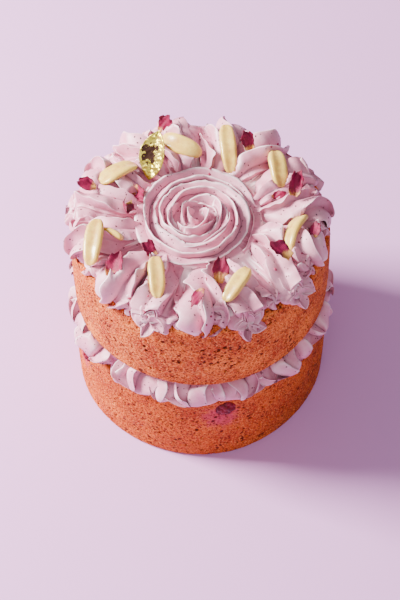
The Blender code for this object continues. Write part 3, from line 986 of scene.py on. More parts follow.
def crumb_tree() -> NodeTree:
    """Builds the tree that opens a sponge's skin into crumb and pores.

    Returns:
        The tree.
    """
    tree = bpy.data.node_groups.new("open_crumb", "GeometryNodeTree")
    inputs = (
        ("Skin", "NodeSocketGeometry", None),
        ("Crumb Depth", "NodeSocketFloat", 0.0004),
        ("Crumb Scale", "NodeSocketFloat", 260.0),
        ("Pore Depth", "NodeSocketFloat", 0.0009),
        ("Pore Scale", "NodeSocketFloat", 300.0),
        ("Start", "NodeSocketVector", (0.0, 0.0, 0.0)),
        ("Sponge", "NodeSocketMaterial", None),
    )
    given, end = group_sockets(tree, inputs, (("Mesh", "NodeSocketGeometry"),))
    sheet = NodeSheet(tree)
    spot = sheet.vector("ADD", sheet.add("GeometryNodeInputPosition").outputs[0], given["Start"])
    normal = sheet.add("GeometryNodeInputNormal").outputs["Normal"]
    level = sheet.math("ABSOLUTE", sheet.vector("DOT_PRODUCT", normal, (0.0, 0.0, 1.0)))
    side = sheet.ramp(level, 0.55, 0.95, 1.0, 0.0)
    crumb = sheet.math("SUBTRACT", sheet.grain(spot, given["Crumb Scale"], 4.0, 0.6), 0.55)
    cells = sheet.add("ShaderNodeTexVoronoi", feature="F1")
    sheet.feed(cells.inputs["Vector"], spot)
    sheet.feed(cells.inputs["Scale"], given["Pore Scale"])
    near = sheet.ramp(cells.outputs["Distance"], 0.12, 0.45, 1.0, 0.0)
    coarse = sheet.math("MULTIPLY", given["Pore Scale"], 0.4)
    chance = sheet.ramp(sheet.grain(spot, coarse, 2.0), 0.5, 0.6)
    pores = sheet.math("MULTIPLY", sheet.math("MULTIPLY", near, chance), given["Pore Depth"])
    raised = sheet.math("MULTIPLY", crumb, sheet.math("MULTIPLY", given["Crumb Depth"], 2.0))
    depth = sheet.math("MULTIPLY", sheet.math("SUBTRACT", raised, pores), side)
    moved = sheet.add("GeometryNodeSetPosition")
    sheet.feed(moved.inputs["Geometry"], given["Skin"])
    sheet.feed(moved.inputs["Offset"], sheet.vector("SCALE", normal, scale=depth))
    finish_tree(sheet, moved.outputs["Geometry"], given["Sponge"], end)
    return tree


def scatter_tree() -> NodeTree:
    """Builds the tree that scatters small flat crumbs over the upper sides of a surface.

    Returns:
        The tree.
    """
    tree = bpy.data.node_groups.new("scattered_flecks", "GeometryNodeTree")
    inputs = (
        ("Surface", "NodeSocketGeometry", None),
        ("Density", "NodeSocketFloat", 5000.0),
        ("Smallest", "NodeSocketFloat", 0.0002),
        ("Largest", "NodeSocketFloat", 0.0006),
        ("Length", "NodeSocketFloat", 1.5),
        ("Thickness", "NodeSocketFloat", 0.4),
        ("Lowest", "NodeSocketFloat", 0.15),
        ("Seed", "NodeSocketInt", 1),
        ("Fleck", "NodeSocketMaterial", None),
    )
    given, end = group_sockets(tree, inputs, (("Mesh", "NodeSocketGeometry"),))
    sheet = NodeSheet(tree)
    normal = sheet.add("GeometryNodeInputNormal").outputs["Normal"]
    level = sheet.vector("DOT_PRODUCT", normal, (0.0, 0.0, 1.0))
    upward = sheet.add("FunctionNodeCompare", data_type="FLOAT", operation="GREATER_THAN")
    sheet.feed(upward.inputs[0], level)
    sheet.feed(upward.inputs[1], given["Lowest"])
    spread = sheet.add("GeometryNodeDistributePointsOnFaces", distribute_method="RANDOM")
    sheet.feed(spread.inputs["Mesh"], given["Surface"])
    sheet.feed(spread.inputs["Selection"], upward.outputs[0])
    sheet.feed(spread.inputs["Density"], given["Density"])
    sheet.feed(spread.inputs["Seed"], given["Seed"])
    size = sheet.add("FunctionNodeRandomValue", data_type="FLOAT")
    sheet.feed(size.inputs[2], given["Smallest"])
    sheet.feed(size.inputs[3], given["Largest"])
    sheet.feed(size.inputs["Seed"], given["Seed"])
    shape = sheet.add("ShaderNodeCombineXYZ")
    sheet.feed(shape.inputs[0], given["Length"])
    shape.inputs[1].default_value = 1.0
    sheet.feed(shape.inputs[2], given["Thickness"])
    turn = sheet.add("FunctionNodeRandomValue", data_type="FLOAT")
    turn.inputs[2].default_value = 0.0
    turn.inputs[3].default_value = 6.283
    heading = sheet.add("ShaderNodeCombineXYZ")
    sheet.feed(heading.inputs[2], turn.outputs[1])
    spun = sheet.add("FunctionNodeRotateRotation", rotation_space="LOCAL")
    sheet.feed(spun.inputs["Rotation"], spread.outputs["Rotation"])
    sheet.feed(spun.inputs["Rotate By"], heading.outputs[0])
    ball = sheet.add("GeometryNodeMeshIcoSphere")
    ball.inputs["Radius"].default_value = 1.0
    ball.inputs["Subdivisions"].default_value = 1
    laid = sheet.add("GeometryNodeInstanceOnPoints")
    sheet.feed(laid.inputs["Points"], spread.outputs["Points"])
    sheet.feed(laid.inputs["Instance"], ball.outputs["Mesh"])
    sheet.feed(laid.inputs["Rotation"], spun.outputs[0])
    sheet.feed(laid.inputs["Scale"], sheet.vector("SCALE", shape.outputs[0], scale=size.outputs[1]))
    finish_tree(sheet, laid.outputs["Instances"], given["Fleck"], end)
    return tree


# -------------------- the cake's shared sizes


@dataclass(frozen=True)
class CakeSizes:
    """Sizes of the cake that several pieces share."""

    radius: float = 75 * MM
    lower_top: float = 60 * MM
    upper_bottom: float = 76 * MM
    upper_top: float = 130 * MM
    bulge: float = 0.7 * MM
    clearance: float = 0.3 * MM

    def wobble(self, angle: float) -> float:
        """How far a sponge's side stands out of a true circle in a direction, in radians."""
        return 0.5 * MM * (math.sin(3 * angle + 0.6) + 0.6 * math.sin(5 * angle + 2.1))


class Layer(Enum):
    """The sponges, from the bottom up."""

    LOWER = "sponge_lower"
    UPPER = "sponge_upper"


@dataclass(frozen=True)
class Berry:
    """A raspberry baked into the side of a sponge."""

    node: str
    direction: float
    reach: float
    height: float
    radius: float

    @property
    def middle(self) -> Vector:
        """The berry's middle."""
        return polar(self.reach, self.direction, self.height)

    @property
    def stain(self) -> Vector:
        """The middle of the stain that the berry's juice has left below it."""
        return polar(75 * MM, self.direction - 2.5, self.height - 0.75 * self.radius)


BERRIES = (
    Berry("raspberry_front", -78.5, 69.3 * MM, 49.2 * MM, 8.6 * MM),
    Berry("raspberry_left", -155.0, 71.0 * MM, 44.0 * MM, 6.2 * MM),
)


@dataclass
class Sponge:
    """One turned sponge with an open crumb and pockets round its berries."""

    layer: Layer
    bottom: float
    top: float
    crust: float
    sizes: CakeSizes
    berries: tuple[Berry, ...] = ()
    around: int = 740
    rows: int = 88
    foot: float = 1.6 * MM

    def outline(self) -> list[tuple[float, float]]:
        """Gives the side's outline.

        Returns:
            Radius and height of each row, from the top's rim down to the foot.
        """
        radius = self.sizes.radius
        rows = [(0.86 * radius, self.top)]
        for step in range(5):
            angle = math.radians(90 * step / 5)
            across = radius - self.crust + self.crust * math.sin(angle)
            rows.append((across, self.top - self.crust + self.crust * math.cos(angle)))
        low, high = self.bottom + self.foot, self.top - self.crust
        for step in range(self.rows + 1):
            share = step / self.rows
            belly = self.sizes.bulge * math.sin(math.pi * share)
            rows.append((radius + belly, high + (low - high) * share))
        rows.append((radius - 0.3 * self.foot, self.bottom + 0.3 * self.foot))
        rows.append((radius - self.foot, self.bottom))
        rows.append((0.86 * radius, self.bottom))
        return rows

    def dented(self, point: Vector) -> Vector:
        """Moves a point of the skin inwards where a berry fills its pocket.

        Args:
            point: The point on the smooth side.

        Returns:
            The point, or its place in the pocket.
        """
        for berry in self.berries:
            away = point - berry.middle
            room = berry.radius + 0.25 * MM
            if away.length < room:
                inward = point.copy()
                inward.z = 0
                depth = math.sqrt(max(0.0, room * room - away.length_squared))
                point = point - inward.normalized() * min(0.5 * depth, 2.6 * MM)
        return point

    def skin(self) -> Object:
        """Builds the smooth turned shape.

        Returns:
            The mesh object.
        """
        rings = []
        for radius, height in self.outline():
            ring = []
            for i in range(self.around):
                angle = 2 * math.pi * i / self.around
                reach = radius + self.sizes.wobble(angle)
                point = Vector((reach * math.cos(angle), reach * math.sin(angle), height))
                ring.append(self.dented(point))
            rings.append(ring)
        mesh = lofted(self.layer.value, rings, Vector((0, 0, self.top)), Vector((0, 0, self.bottom)))
        return add_object(f"{self.layer.value}_dressed", mesh)

    def build(self, tree: NodeTree, effects: Effects, finish: SpongeFinish) -> Object:
        """Builds and dresses the sponge.

        Args:
            tree: The tree that opens the crumb.
            effects: The shared shader groups.
            finish: The sponge's finish.

        Returns:
            The finished piece.
        """
        stains = [(berry.stain, 1.25 * berry.radius) for berry in self.berries]
        material = finish.build(effects, f"{self.layer.value}_crumb", stains)
        start = (0.0, 0.0, 0.31 if self.layer is Layer.LOWER else 0.0)
        made = run_nodes(self.skin(), tree, Start=start, Sponge=material)
        keep_inside(made.data, self.layer.value)
        return finish_piece(made, "sponge", material, self.layer.value)


# -------------------- piped cream


@dataclass(frozen=True)
class Nozzle:
    """A star nozzle: the outline that it gives to the cream."""

    arms: int = 6
    valley: float = 0.44
    sharpness: float = 1.35
    points_per_arm: int = 14
    width: float = 1.0

    def outline(self) -> list[tuple[float, float, int]]:
        """Gives the outline's points.

        Returns:
            Direction in radians, how far it is up its fin from 0 to 1, and the fin's number.
        """
        made = []
        half = self.points_per_arm // 2
        for arm in range(self.arms):
            for step in range(self.points_per_arm):
                run = 1 - step / half
                fin = math.sin(abs(run) * math.pi / 2)
                turn = (1 - math.copysign(fin, run)) / 2
                owner = arm if step < half else (arm + 1) % self.arms
                made.append((2 * math.pi * (arm + turn) / self.arms, fin, owner))
        return made


@dataclass
class PipedShell:
    """One shell of piped cream: fluted, with leaning fins that part like petals at its open end."""

    name: str
    path: list[list[float]]
    nozzle: Nozzle
    twist: float
    start: float
    lean: float
    seed: int
    level: bool = False
    open_length: float = 13 * MM
    open_valley: float = 0.16
    coil: float = 44 * MM
    hollow: float = 0.0
    sway: float = 1.1 * MM

    def frames(self, points: list[Vector]) -> list[tuple[Vector, Vector]]:
        """Carries a sideways and an upward direction along the path.

        Args:
            points: The path's points.

        Returns:
            The two directions at each point.
        """
        made: list[tuple[Vector, Vector]] = []
        up = Vector((0, 0, 1))
        for i, point in enumerate(points):
            ahead = points[min(i + 1, len(points) - 1)] - points[max(i - 1, 0)]
            ahead.normalize()
            if abs(ahead.z) > 0.95 and i == 0:
                up = Vector((0, 1, 0))
            side = ahead.cross(Vector((0, 0, 1)) if self.level else up).normalized()
            up = side.cross(ahead).normalized()
            made.append((side, up))
        return made

    def build(self) -> Object:
        """Builds the shell's closed mesh.

        Returns:
            The mesh object.
        """
        rng = random.Random(self.seed)
        arms = self.nozzle.arms
        reaches = [rng.uniform(0.80, 1.07) for _ in range(arms)]
        waves = [rng.uniform(0, 6.28) for _ in range(arms)]
        points = [Vector(row[:3]) for row in self.path]
        radii = [row[3] for row in self.path]
        frames = self.frames(points)
        travelled = [0.0]
        for before, after in zip(points, points[1:]):
            travelled.append(travelled[-1] + (after - before).length)
        outline = self.nozzle.outline()
        rings = []
        for i, (point, (side, up)) in enumerate(zip(points, frames)):
            run = travelled[i]
            opened = 1 - smoothstep(run / self.open_length)
            valley = self.nozzle.valley + (self.open_valley - self.nozzle.valley) * opened
            tilt = math.radians(self.start + self.twist * smoothstep(0.12 + run / self.coil))
            ring = []
            for angle, fin, arm in outline:
                rise = fin**self.nozzle.sharpness
                wave = 0.08 * math.sin(380 * run + waves[arm]) + 0.04 * math.sin(900 * run + 2 * waves[arm])
                reach = valley + (reaches[arm] * (1 + wave * 0.6) - valley) * rise
                bent = angle + tilt + (self.lean * (0.45 + 0.55 * opened) + wave) * reach * reach
                x = self.nozzle.width * reach * math.cos(bent)
                y = reach * math.sin(bent)
                place = point + radii[i] * (x * side + y * up)
                drift = noise.noise_vector(place * 75.0 + Vector((self.seed, 0, 0)))
                ring.append(place + self.sway * drift)
            rings.append(ring)
        out = (points[0] - points[1]).normalized()
        first = points[0] + out * (0.3 * radii[0] - self.hollow)
        last = points[-1] + (points[-1] - points[-2]).normalized() * 0.4 * radii[-1]
        return add_object(self.name, lofted(self.name, rings, first, last))


def outward_point(degrees: float, outward: float, sideways: float, height: float) -> Vector:
    """Gives a point by its reach from the axis and its sideways step, in a direction.

    Args:
        degrees: The direction, in degrees.
        outward: How far out from the axis it lies.
        sideways: How far beside the direction it lies, anticlockwise.
        height: Its height.

    Returns:
        The point.
    """
    turn = math.radians(degrees)
    out = Vector((math.cos(turn), math.sin(turn), 0))
    return outward * out + sideways * Vector((-out.y, out.x, 0)) + Vector((0, 0, height))


def fuse(name: str, pieces: list[Object]) -> Object:
    """Joins closed meshes into one skin.

    Args:
        name: The joined object's name.
        pieces: The mesh objects, which are used up.

    Returns:
        The joined mesh object.
    """
    group = bpy.data.collections.new(f"{name}_pieces")
    bpy.context.scene.collection.children.link(group)
    first, *others = pieces
    for obj in others:
        bpy.context.scene.collection.objects.unlink(obj)
        group.objects.link(obj)
    union = first.modifiers.new("fuse", "BOOLEAN")
    union.operation = "UNION"
    union.operand_type = "COLLECTION"
    union.collection = group
    union.solver = "MANIFOLD"
    first.name = name
    made = baked(first)
    for obj in list(group.objects):
        bpy.data.objects.remove(obj)
    bpy.data.collections.remove(group)
    return made


def drum(name: str, radius: float, bottom: float, height: float, sides: int = 180) -> Object:
    """Builds the flat body of cream that the piping lies on.

    Args:
        name: The object's name.
        radius: Its radius.
        bottom: Its lower height.
        height: Its thickness.
        sides: How many sides its rim has.

    Returns:
        The mesh object.
    """
    rings = []
    for level, inset in ((0.0, 0.5 * MM), (0.12, 0.0), (0.5, -0.2 * MM), (0.88, 0.0), (1.0, 0.6 * MM)):
        ring = []
        for i in range(sides):
            angle = 2 * math.pi * i / sides
            reach = radius - inset + 0.35 * MM * math.sin(9 * angle + 5 * level)
            ring.append(Vector((reach * math.cos(angle), reach * math.sin(angle), bottom + height * level)))
        rings.append(ring)
    mesh = lofted(name, rings, Vector((0, 0, bottom)), Vector((0, 0, bottom + height)))
    return add_object(name, mesh)


@dataclass
class Rosette:
    """The spiral rosette in the middle of the top, with petals of cream wrapped round its heart."""

    sizes: CakeSizes
    centre: tuple[float, float] = (-2 * MM, -3 * MM)
    turns: float = 2.35
    inner: float = 13 * MM
    pitch: float = 8.6 * MM
    first_direction: float = 86.0
    steps_per_turn: int = 76
    bead_inner: float = 7.4 * MM
    bead_outer: float = 9.4 * MM
    rise_inner: float = 8.0 * MM
    rise_outer: float = 6.5 * MM
    arms: int = 7
    petals: int = 7
    petal_first: float = 2.3
    petal_step: float = 2.3
    petal_peak: float = 20.8 * MM
    petal_foot: float = 7.5 * MM
    petal_lean: float = 0.15
    blade: tuple[tuple[float, float], ...] = (
        (-1.3, 0.0),
        (-0.9, 0.35),
        (-0.55, 0.7),
        (-0.25, 0.94),
        (0.0, 1.0),
        (0.3, 0.94),
        (1.0, 0.7),
        (2.1, 0.35),
        (3.4, 0.0),
    )

    def spiral(self) -> Object:
        """Builds the spiral's path as a curve with radii and tilts.

        Returns:
            The curve object.
        """
        steps = round(self.turns * self.steps_per_turn)
        curve = bpy.data.curves.new("rosette_path", "CURVE")
        curve.dimensions = "3D"
        curve.twist_mode = "Z_UP"
        line = curve.splines.new("POLY")
        line.points.add(steps)
        for i in range(steps + 1):
            share = i / steps
            turn = self.turns * share
            reach = self.inner + self.pitch * turn
            rise = self.rise_inner + (self.rise_outer - self.rise_inner) * share
            bead = self.bead_inner + (self.bead_outer - self.bead_inner) * share
            opening = 0.75 + 0.25 * smoothstep(3 * turn)
            closing = 0.3 + 0.7 * smoothstep(2.5 * (self.turns - turn))
            place = polar(reach, self.first_direction - 360 * turn, self.sizes.upper_top + rise)
            place += Vector((*self.centre, 0))
            line.points[i].co = (*place, 1)
            line.points[i].radius = bead * opening * closing
            line.points[i].tilt = math.radians(-66 * turn + 9 * math.sin(4.3 * turn))
        return add_object("rosette", curve)

    def cone(self) -> Object:
        """Builds the blunt cone of cream that the inner petals stand on.

        Returns:
            The mesh object.
        """
        base = self.sizes.upper_top + self.sizes.clearance
        rings = []
        for reach, level in ((17.0, 0.0), (16.0, 6.5), (12.5, 9.4), (8.0, 10.6), (3.5, 11.0)):
            ring = []
            for i in range(48):
                place = polar(reach * MM, 7.5 * i, base + level * MM) + Vector((*self.centre, 0))
                ring.append(place + 0.8 * MM * noise.noise_vector(place * 120))
            rings.append(ring)
        middle = Vector((*self.centre, base))
        mesh = lofted("heart", rings, middle, middle + Vector((0, 0, 11.0 * MM)))
        return add_object("heart", mesh)

    def petal(self, number: int) -> Object:
        """Builds one thin petal of cream, wrapped round the middle.

        Args:
            number: Its place in the row, from the middle outwards.

        Returns:
            The mesh object.
        """
        rng = random.Random(Seed.HEART_PETAL + number)
        reach = (self.petal_first + self.petal_step * number) * MM
        begin = 137.5 * number - 63 + rng.uniform(-10, 10)
        span = (190 - 10 * number) * rng.uniform(0.86, 1.1)
        peak = self.petal_peak - (0.13 * number * number + rng.uniform(0, 0.7)) * MM
        crest = rng.uniform(0.35, 0.7)
        sharp = 1.15 if number < 3 else rng.uniform(1.8, 2.6)
        fall = 8.0 if number < 3 else 6.0
        foot = self.petal_foot
        steps = 60
        rings = []
        for i in range(steps + 1):
            share = i / steps
            rounded = 1 - abs((share - crest) / (crest if share < crest else 1 - crest)) ** sharp
            ragged = 0.7 * MM * noise.noise(Vector((share * 11, number, 2)))
            top = peak - (1 - rounded) * fall * MM + ragged
            turn = begin - span * share
            drawn = reach + 1.9 * MM * share + 0.08 * reach * math.sin(7 * share + number)
            ring = []
            for side, level in self.blade:
                out = drawn + side * MM + self.petal_lean * level * level * (top - foot)
                height = self.sizes.upper_top + foot + (top - foot) * level
                ring.append(polar(out, turn, height) + Vector((*self.centre, 0)))
            rings.append(ring)
        ends = [sum(ring, Vector()) / len(ring) for ring in (rings[0], rings[-1])]
        return add_object(f"heart_petal_{number}", lofted(f"heart_petal_{number}", rings, *ends))

    def build(self, tree: NodeTree, material: Material) -> list[Object]:
        """Builds the rosette's meshes.

        Args:
            tree: The tree that pipes cream along a curve.
            material: The cream.

        Returns:
            The mesh objects.
        """
        made = run_nodes(
            self.spiral(),
            tree,
            Arms=self.arms,
            Arm_Points=12,
            Valley=0.42,
            Sharpness=1.35,
            Ruffle=1.5 * MM,
            Ruffle_Scale=430.0,
            Swell=0.13,
            Swell_Turns=31.0,
            Sway=1.9 * MM,
            Cream=material,
        )
        welded(made.data)
        return [made, self.cone(), *(self.petal(number) for number in range(self.petals))]


@dataclass
class Border:
    """The ring of shells round the rosette."""

    sizes: CakeSizes
    count: int = 15
    first_direction: float = -90.0
    radius: float = 14.8 * MM
    middle: float = 59.0 * MM
    hook: float = 9 * MM
    route: tuple[tuple[float, float, float], ...] = (
        (14.4, -4.4, 0.28),
        (12.2, -0.6, 0.72),
        (7.0, 4.0, 1.0),
        (-1.0, 6.0, 1.0),
        (-9.0, 6.2, 0.88),
        (-17.0, 5.4, 0.72),
        (-24.0, 4.4, 0.46),
    )
    opened: tuple[int, ...] = (1, 2, 5, 8, 11, 14)
    tongue_start: int = 5
    opened_route: tuple[tuple[float, float, float], ...] = (
        (17.4, 2.6, 0.66),
        (16.0, 1.8, 0.86),
        (12.0, 1.4, 1.0),
        (5.0, 3.8, 1.0),
        (-5.0, 6.0, 0.94),
        (-15.0, 5.6, 0.76),
        (-24.0, 4.4, 0.46),
    )
    curl_route: tuple[tuple[float, float, float], ...] = (
        (7.0, 3.4, 0.62),
        (5.6, 2.6, 0.94),
        (2.0, 1.4, 1.0),
        (-4.0, 0.6, 0.95),
        (-11.0, 0.0, 0.7),
    )

    def build(self) -> list[Object]:
        """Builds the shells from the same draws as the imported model's.

        Returns:
            The mesh objects.
        """
        rng = random.Random(Seed.BORDER)
        made = []
        for i in range(self.count):
            angle = self.first_direction + 360 * i / self.count + rng.uniform(-2.5, 2.5)
            size = self.radius * rng.uniform(0.92, 1.08)
            middle = self.middle + rng.uniform(-1.2, 1.0) * MM
            lift = rng.uniform(-0.8, 0.8) * MM
            hook = rng.uniform(-1, 1) * self.hook
            twist = rng.uniform(20, 60) * rng.choice((-1, 1))
            start = rng.uniform(0, 60)
            rows = []
            route = self.opened_route if i in self.opened else self.route
            last = len(route) - 1
            for k, (out, up, share) in enumerate(route):
                side = hook * (k / last) ** 2
                place = outward_point(angle, middle + out * MM, side, self.sizes.upper_top + up * MM + lift)
                rows.append([*place, size * share])
            path = spline(rows, 8)
            looks = random.Random(Seed.BORDER_LOOKS + i)
            nozzle = Nozzle(arms=looks.choice((5, 5, 6)), valley=0.5, sharpness=looks.uniform(1.2, 1.7))
            lean = math.copysign(looks.uniform(0.9, 1.5), twist)
            shell = PipedShell(f"shell_{i}", path, nozzle, 1.5 * twist, start, lean, Seed.BORDER_SWAY + i)
            shell.twist += math.copysign(looks.uniform(50, 110), twist)
            shell.hollow = looks.uniform(0.5, 4.0) * MM
            if i in self.opened:
                arms = looks.choice((4, 5, 5))
                shell.nozzle = Nozzle(arms=arms, valley=0.5, sharpness=looks.uniform(0.95, 1.15))
                shell.hollow = looks.uniform(6.2, 7.2) * MM
                shell.open_valley = looks.uniform(0.44, 0.52)
                shell.lean *= 0.5
                shell.twist *= 0.7
                made.append(self.tongue(i, rows, shell, looks))
            made.append(shell.build())
            made.append(self.curl(i))
        return made

    def tongue(
        self, number: int, rows: list[list[float]], shell: PipedShell, rng: random.Random
    ) -> Object:
        """Builds the inner folds in an opened shell's hollow.

        Args:
            number: The shell's number.
            rows: The shell's route, with its sizes.
            shell: The shell.
            rng: Where its draws come from.

        Returns:
            The mesh object.
        """
        share = rng.uniform(0.60, 0.70)
        path = spline([[*row[:3], share * row[3]] for row in rows], 8)[self.tongue_start :]
        nozzle = Nozzle(arms=3, valley=0.28, sharpness=0.9)
        start, lean, seed = shell.start + 40, 1.3 * shell.lean, Seed.TONGUE_SWAY + number
        inner = PipedShell(f"tongue_{number}", path, nozzle, shell.twist, start, lean, seed)
        inner.open_valley = 0.2
        inner.hollow = rng.uniform(3.2, 4.6) * MM
        return inner.build()

    def curl(self, number: int) -> Object:
        """Builds one small curl of cream that fills the notch between two shells.

        Args:
            number: The shell that it follows.

        Returns:
            The mesh object.
        """
        rng = random.Random(Seed.CURL + number)
        angle = self.first_direction + 360 * (number + 0.5) / self.count + rng.uniform(-3, 3)
        size = rng.uniform(7.6, 9.8) * MM
        reach = self.middle + rng.uniform(5.0, 7.5) * MM
        lift = rng.uniform(0.0, 3.0) * MM
        slide = rng.uniform(-3.5, 3.5) * MM
        rows = []
        for out, up, share in self.curl_route:
            height = self.sizes.upper_top + lift + up * MM
            rows.append([*outward_point(angle, reach + out * MM, slide * up / 5, height), size * share])
        nozzle = Nozzle(arms=rng.choice((4, 4, 5)), valley=0.5, sharpness=1.1)
        twist = rng.choice((-1, 1)) * rng.uniform(40, 90)
        path, start, lean = spline(rows, 6), rng.uniform(0, 70), math.copysign(0.8, twist)
        shell = PipedShell(f"curl_{number}", path, nozzle, twist, start, lean, Seed.CURL_SWAY + number)
        shell.open_length = 9 * MM
        shell.hollow = rng.uniform(1.0, 3.0) * MM
        return shell.build()


@dataclass
class Filling:
    """The cream between the sponges, with its ring of drooping shells."""

    sizes: CakeSizes
    count: int = 15
    first_direction: float = -94.0
    radius: float = 10.8 * MM
    middle: float = 68.5 * MM
    width: float = 1.75
    disc_radius: float = 71 * MM
    route: tuple[tuple[float, float, float], ...] = (
        (10.2, 3.0, 0.24),
        (8.4, 2.2, 0.70),
        (5.0, 1.0, 0.96),
        (0.0, 0.2, 1.0),
        (-7.0, 0.0, 0.85),
    )

    def shells(self) -> list[Object]:
        """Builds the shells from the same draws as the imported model's.

        Returns:
            The mesh objects.
        """
        rng = random.Random(Seed.FILLING)
        made = []
        for i in range(self.count):
            angle = self.first_direction + 360 * i / self.count + rng.uniform(-2.5, 2.5)
            size = self.radius * rng.uniform(0.92, 1.06)
            middle = self.middle + rng.uniform(-1.0, 0.8) * MM
            droop = rng.uniform(0.8, 2.6) * MM
            slide = rng.uniform(-2.5, 2.5) * MM
            phase = rng.uniform(0, 60)
            rows = []
            for out, down, share in self.route:
                height = self.sizes.lower_top + 8 * MM - droop * down
                rows.append([*outward_point(angle, middle + out * MM, slide, height), size * share])
            path = spline(rows, 7)
            looks = random.Random(Seed.FILLING_LOOKS + i)
            arms = looks.choice((5, 6, 6, 7))
            nozzle = Nozzle(arms=arms, width=self.width, valley=0.30, sharpness=looks.uniform(1.0, 1.4))
            lean = looks.choice((-1, 1)) * looks.uniform(0.9, 1.7)
            seed = Seed.FILLING_SWAY + i
            shell = PipedShell(f"filling_shell_{i}", path, nozzle, 60 * lean, phase, lean, seed, level=True)
            shell.open_length = 8 * MM
            shell.hollow = looks.uniform(0.0, 2.5) * MM
            shell.sway = 3.0 * MM
            made.append(shell.build())
            made.append(self.fold(i, looks))
        return made

    def fold(self, number: int, rng: random.Random) -> Object:
        """Builds one small fold of cream between two shells.

        Args:
            number: The shell that it follows.
            rng: Where its draws come from.

        Returns:
            The mesh object.
        """
        angle = self.first_direction + 360 * (number + 0.5) / self.count + rng.uniform(-3, 3)
        size = self.radius * rng.uniform(0.72, 0.98)
        droop = rng.uniform(1.2, 3.4) * MM
        rows = []
        for out, down, share in self.route:
            height = self.sizes.lower_top + rng.uniform(6.5, 8.5) * MM - droop * down
            rows.append([*outward_point(angle, self.middle + (out - 1) * MM, 0.0, height), size * share])
        twist = rng.choice((-1, 1)) * rng.uniform(40, 90)
        nozzle = Nozzle(arms=rng.choice((4, 5)), width=1.3, valley=0.34, sharpness=1.2)
        path, start, lean = spline(rows, 7), rng.uniform(0, 70), math.copysign(1.2, twist)
        seed = Seed.FOLD_SWAY + number
        shell = PipedShell(f"filling_fold_{number}", path, nozzle, twist, start, lean, seed, level=True)
        shell.hollow = 2 * MM
        shell.sway = 2.4 * MM
        return shell.build()

    def trimmed(self, cream: Object, cutters: list[Object]) -> Object:
        """Cuts the sponges' room out of the cream.

        Args:
            cream: The fused cream.
            cutters: Closed meshes, which are used up.

        Returns:
            The cut mesh object.
        """
        name = cream.name
        for cutter in cutters:
            cut = cream.modifiers.new("trim", "BOOLEAN")
            cut.operation = "DIFFERENCE"
            cut.object = cutter
            cut.solver = "MANIFOLD"
        made = baked(cream)
        made.name = name
        for cutter in cutters:
            bpy.data.objects.remove(cutter)
        return made

    def build(self, material: Material) -> Object:
        """Builds and dresses the filling.

        Args:
            material: The cream.

        Returns:
            The finished piece.
        """
        gap = self.sizes.clearance
        height = self.sizes.upper_bottom - self.sizes.lower_top - 2 * gap
        disc = drum("disc", self.disc_radius, self.sizes.lower_top + gap, height)
        made = fuse("cream_filling_dressed", [disc, *self.shells()])
        radius = self.sizes.radius - 0.2 * MM
        low = drum("low", radius, 20 * MM, self.sizes.lower_top - 20 * MM)
        high = drum("high", radius, self.sizes.upper_bottom, 30 * MM)
        made = self.trimmed(made, [low, high])
        keep_inside(made.data, "cream_filling")
        made.data.shade_smooth()
        return finish_piece(made, "cream", material, "cream_filling")


class Imprint:
    """Presses toppings into a body of cream, so that no cream stands through or right beside them."""

    cell: float = 5 * MM

    def __init__(self, cream: Mesh) -> None:
        """Sorts the cream's vertices into square cells seen from above.

        Args:
            cream: The cream's mesh, which the presses change.
        """
        self.cream = cream
        self.cells: dict[tuple[int, int], list[int]] = {}
        for vertex in cream.vertices:
            key = (math.floor(vertex.co.x / self.cell), math.floor(vertex.co.y / self.cell))
            self.cells.setdefault(key, []).append(vertex.index)

    def below(self, low: Sequence[float], high: Sequence[float]) -> list[MeshVertex]:
        """Finds the cream within a topping's outline seen from above.

        Args:
            low: The outline's lower corner.
            high: Its upper corner.

        Returns:
            The vertices.
        """
        found = []
        for column in range(math.floor(low[0] / self.cell), math.floor(high[0] / self.cell) + 1):
            for row in range(math.floor(low[1] / self.cell), math.floor(high[1] / self.cell) + 1):
                found += [self.cream.vertices[index] for index in self.cells.get((column, row), ())]
        return [vertex for vertex in found if all(low[i] < vertex.co[i] < high[i] for i in range(2))]

    def press(self, topping: Mesh, margin: float) -> None:
        """Sinks cream that stands through or right beside a topping.

        Args:
            topping: The topping's mesh, in place.
            margin: How far beside the topping the cream still gives way.
        """
        work = bmesh.new()
        work.from_mesh(topping)
        tree = BVHTree.FromBMesh(work)
        work.free()
        low = [min(vertex.co[i] for vertex in topping.vertices) - margin for i in range(3)]
        high = [max(vertex.co[i] for vertex in topping.vertices) + margin for i in range(3)]
        for vertex in self.below(low, high):
            spot = vertex.co
            if spot.z < low[2]:
                continue
            under = tree.ray_cast(Vector((spot.x, spot.y, low[2] - 0.05)), Vector((0, 0, 1)))[0]
            if under is not None:
                spot.z = min(spot.z, under.z + 0.3 * MM)
                continue
            near = tree.find_nearest(Vector((spot.x, spot.y, (low[2] + high[2]) / 2)))[0]
            away = math.hypot(near.x - spot.x, near.y - spot.y)
            if away < margin and spot.z > near.z:
                spot.z -= (1 - smoothstep(away / margin)) * (spot.z - near.z)


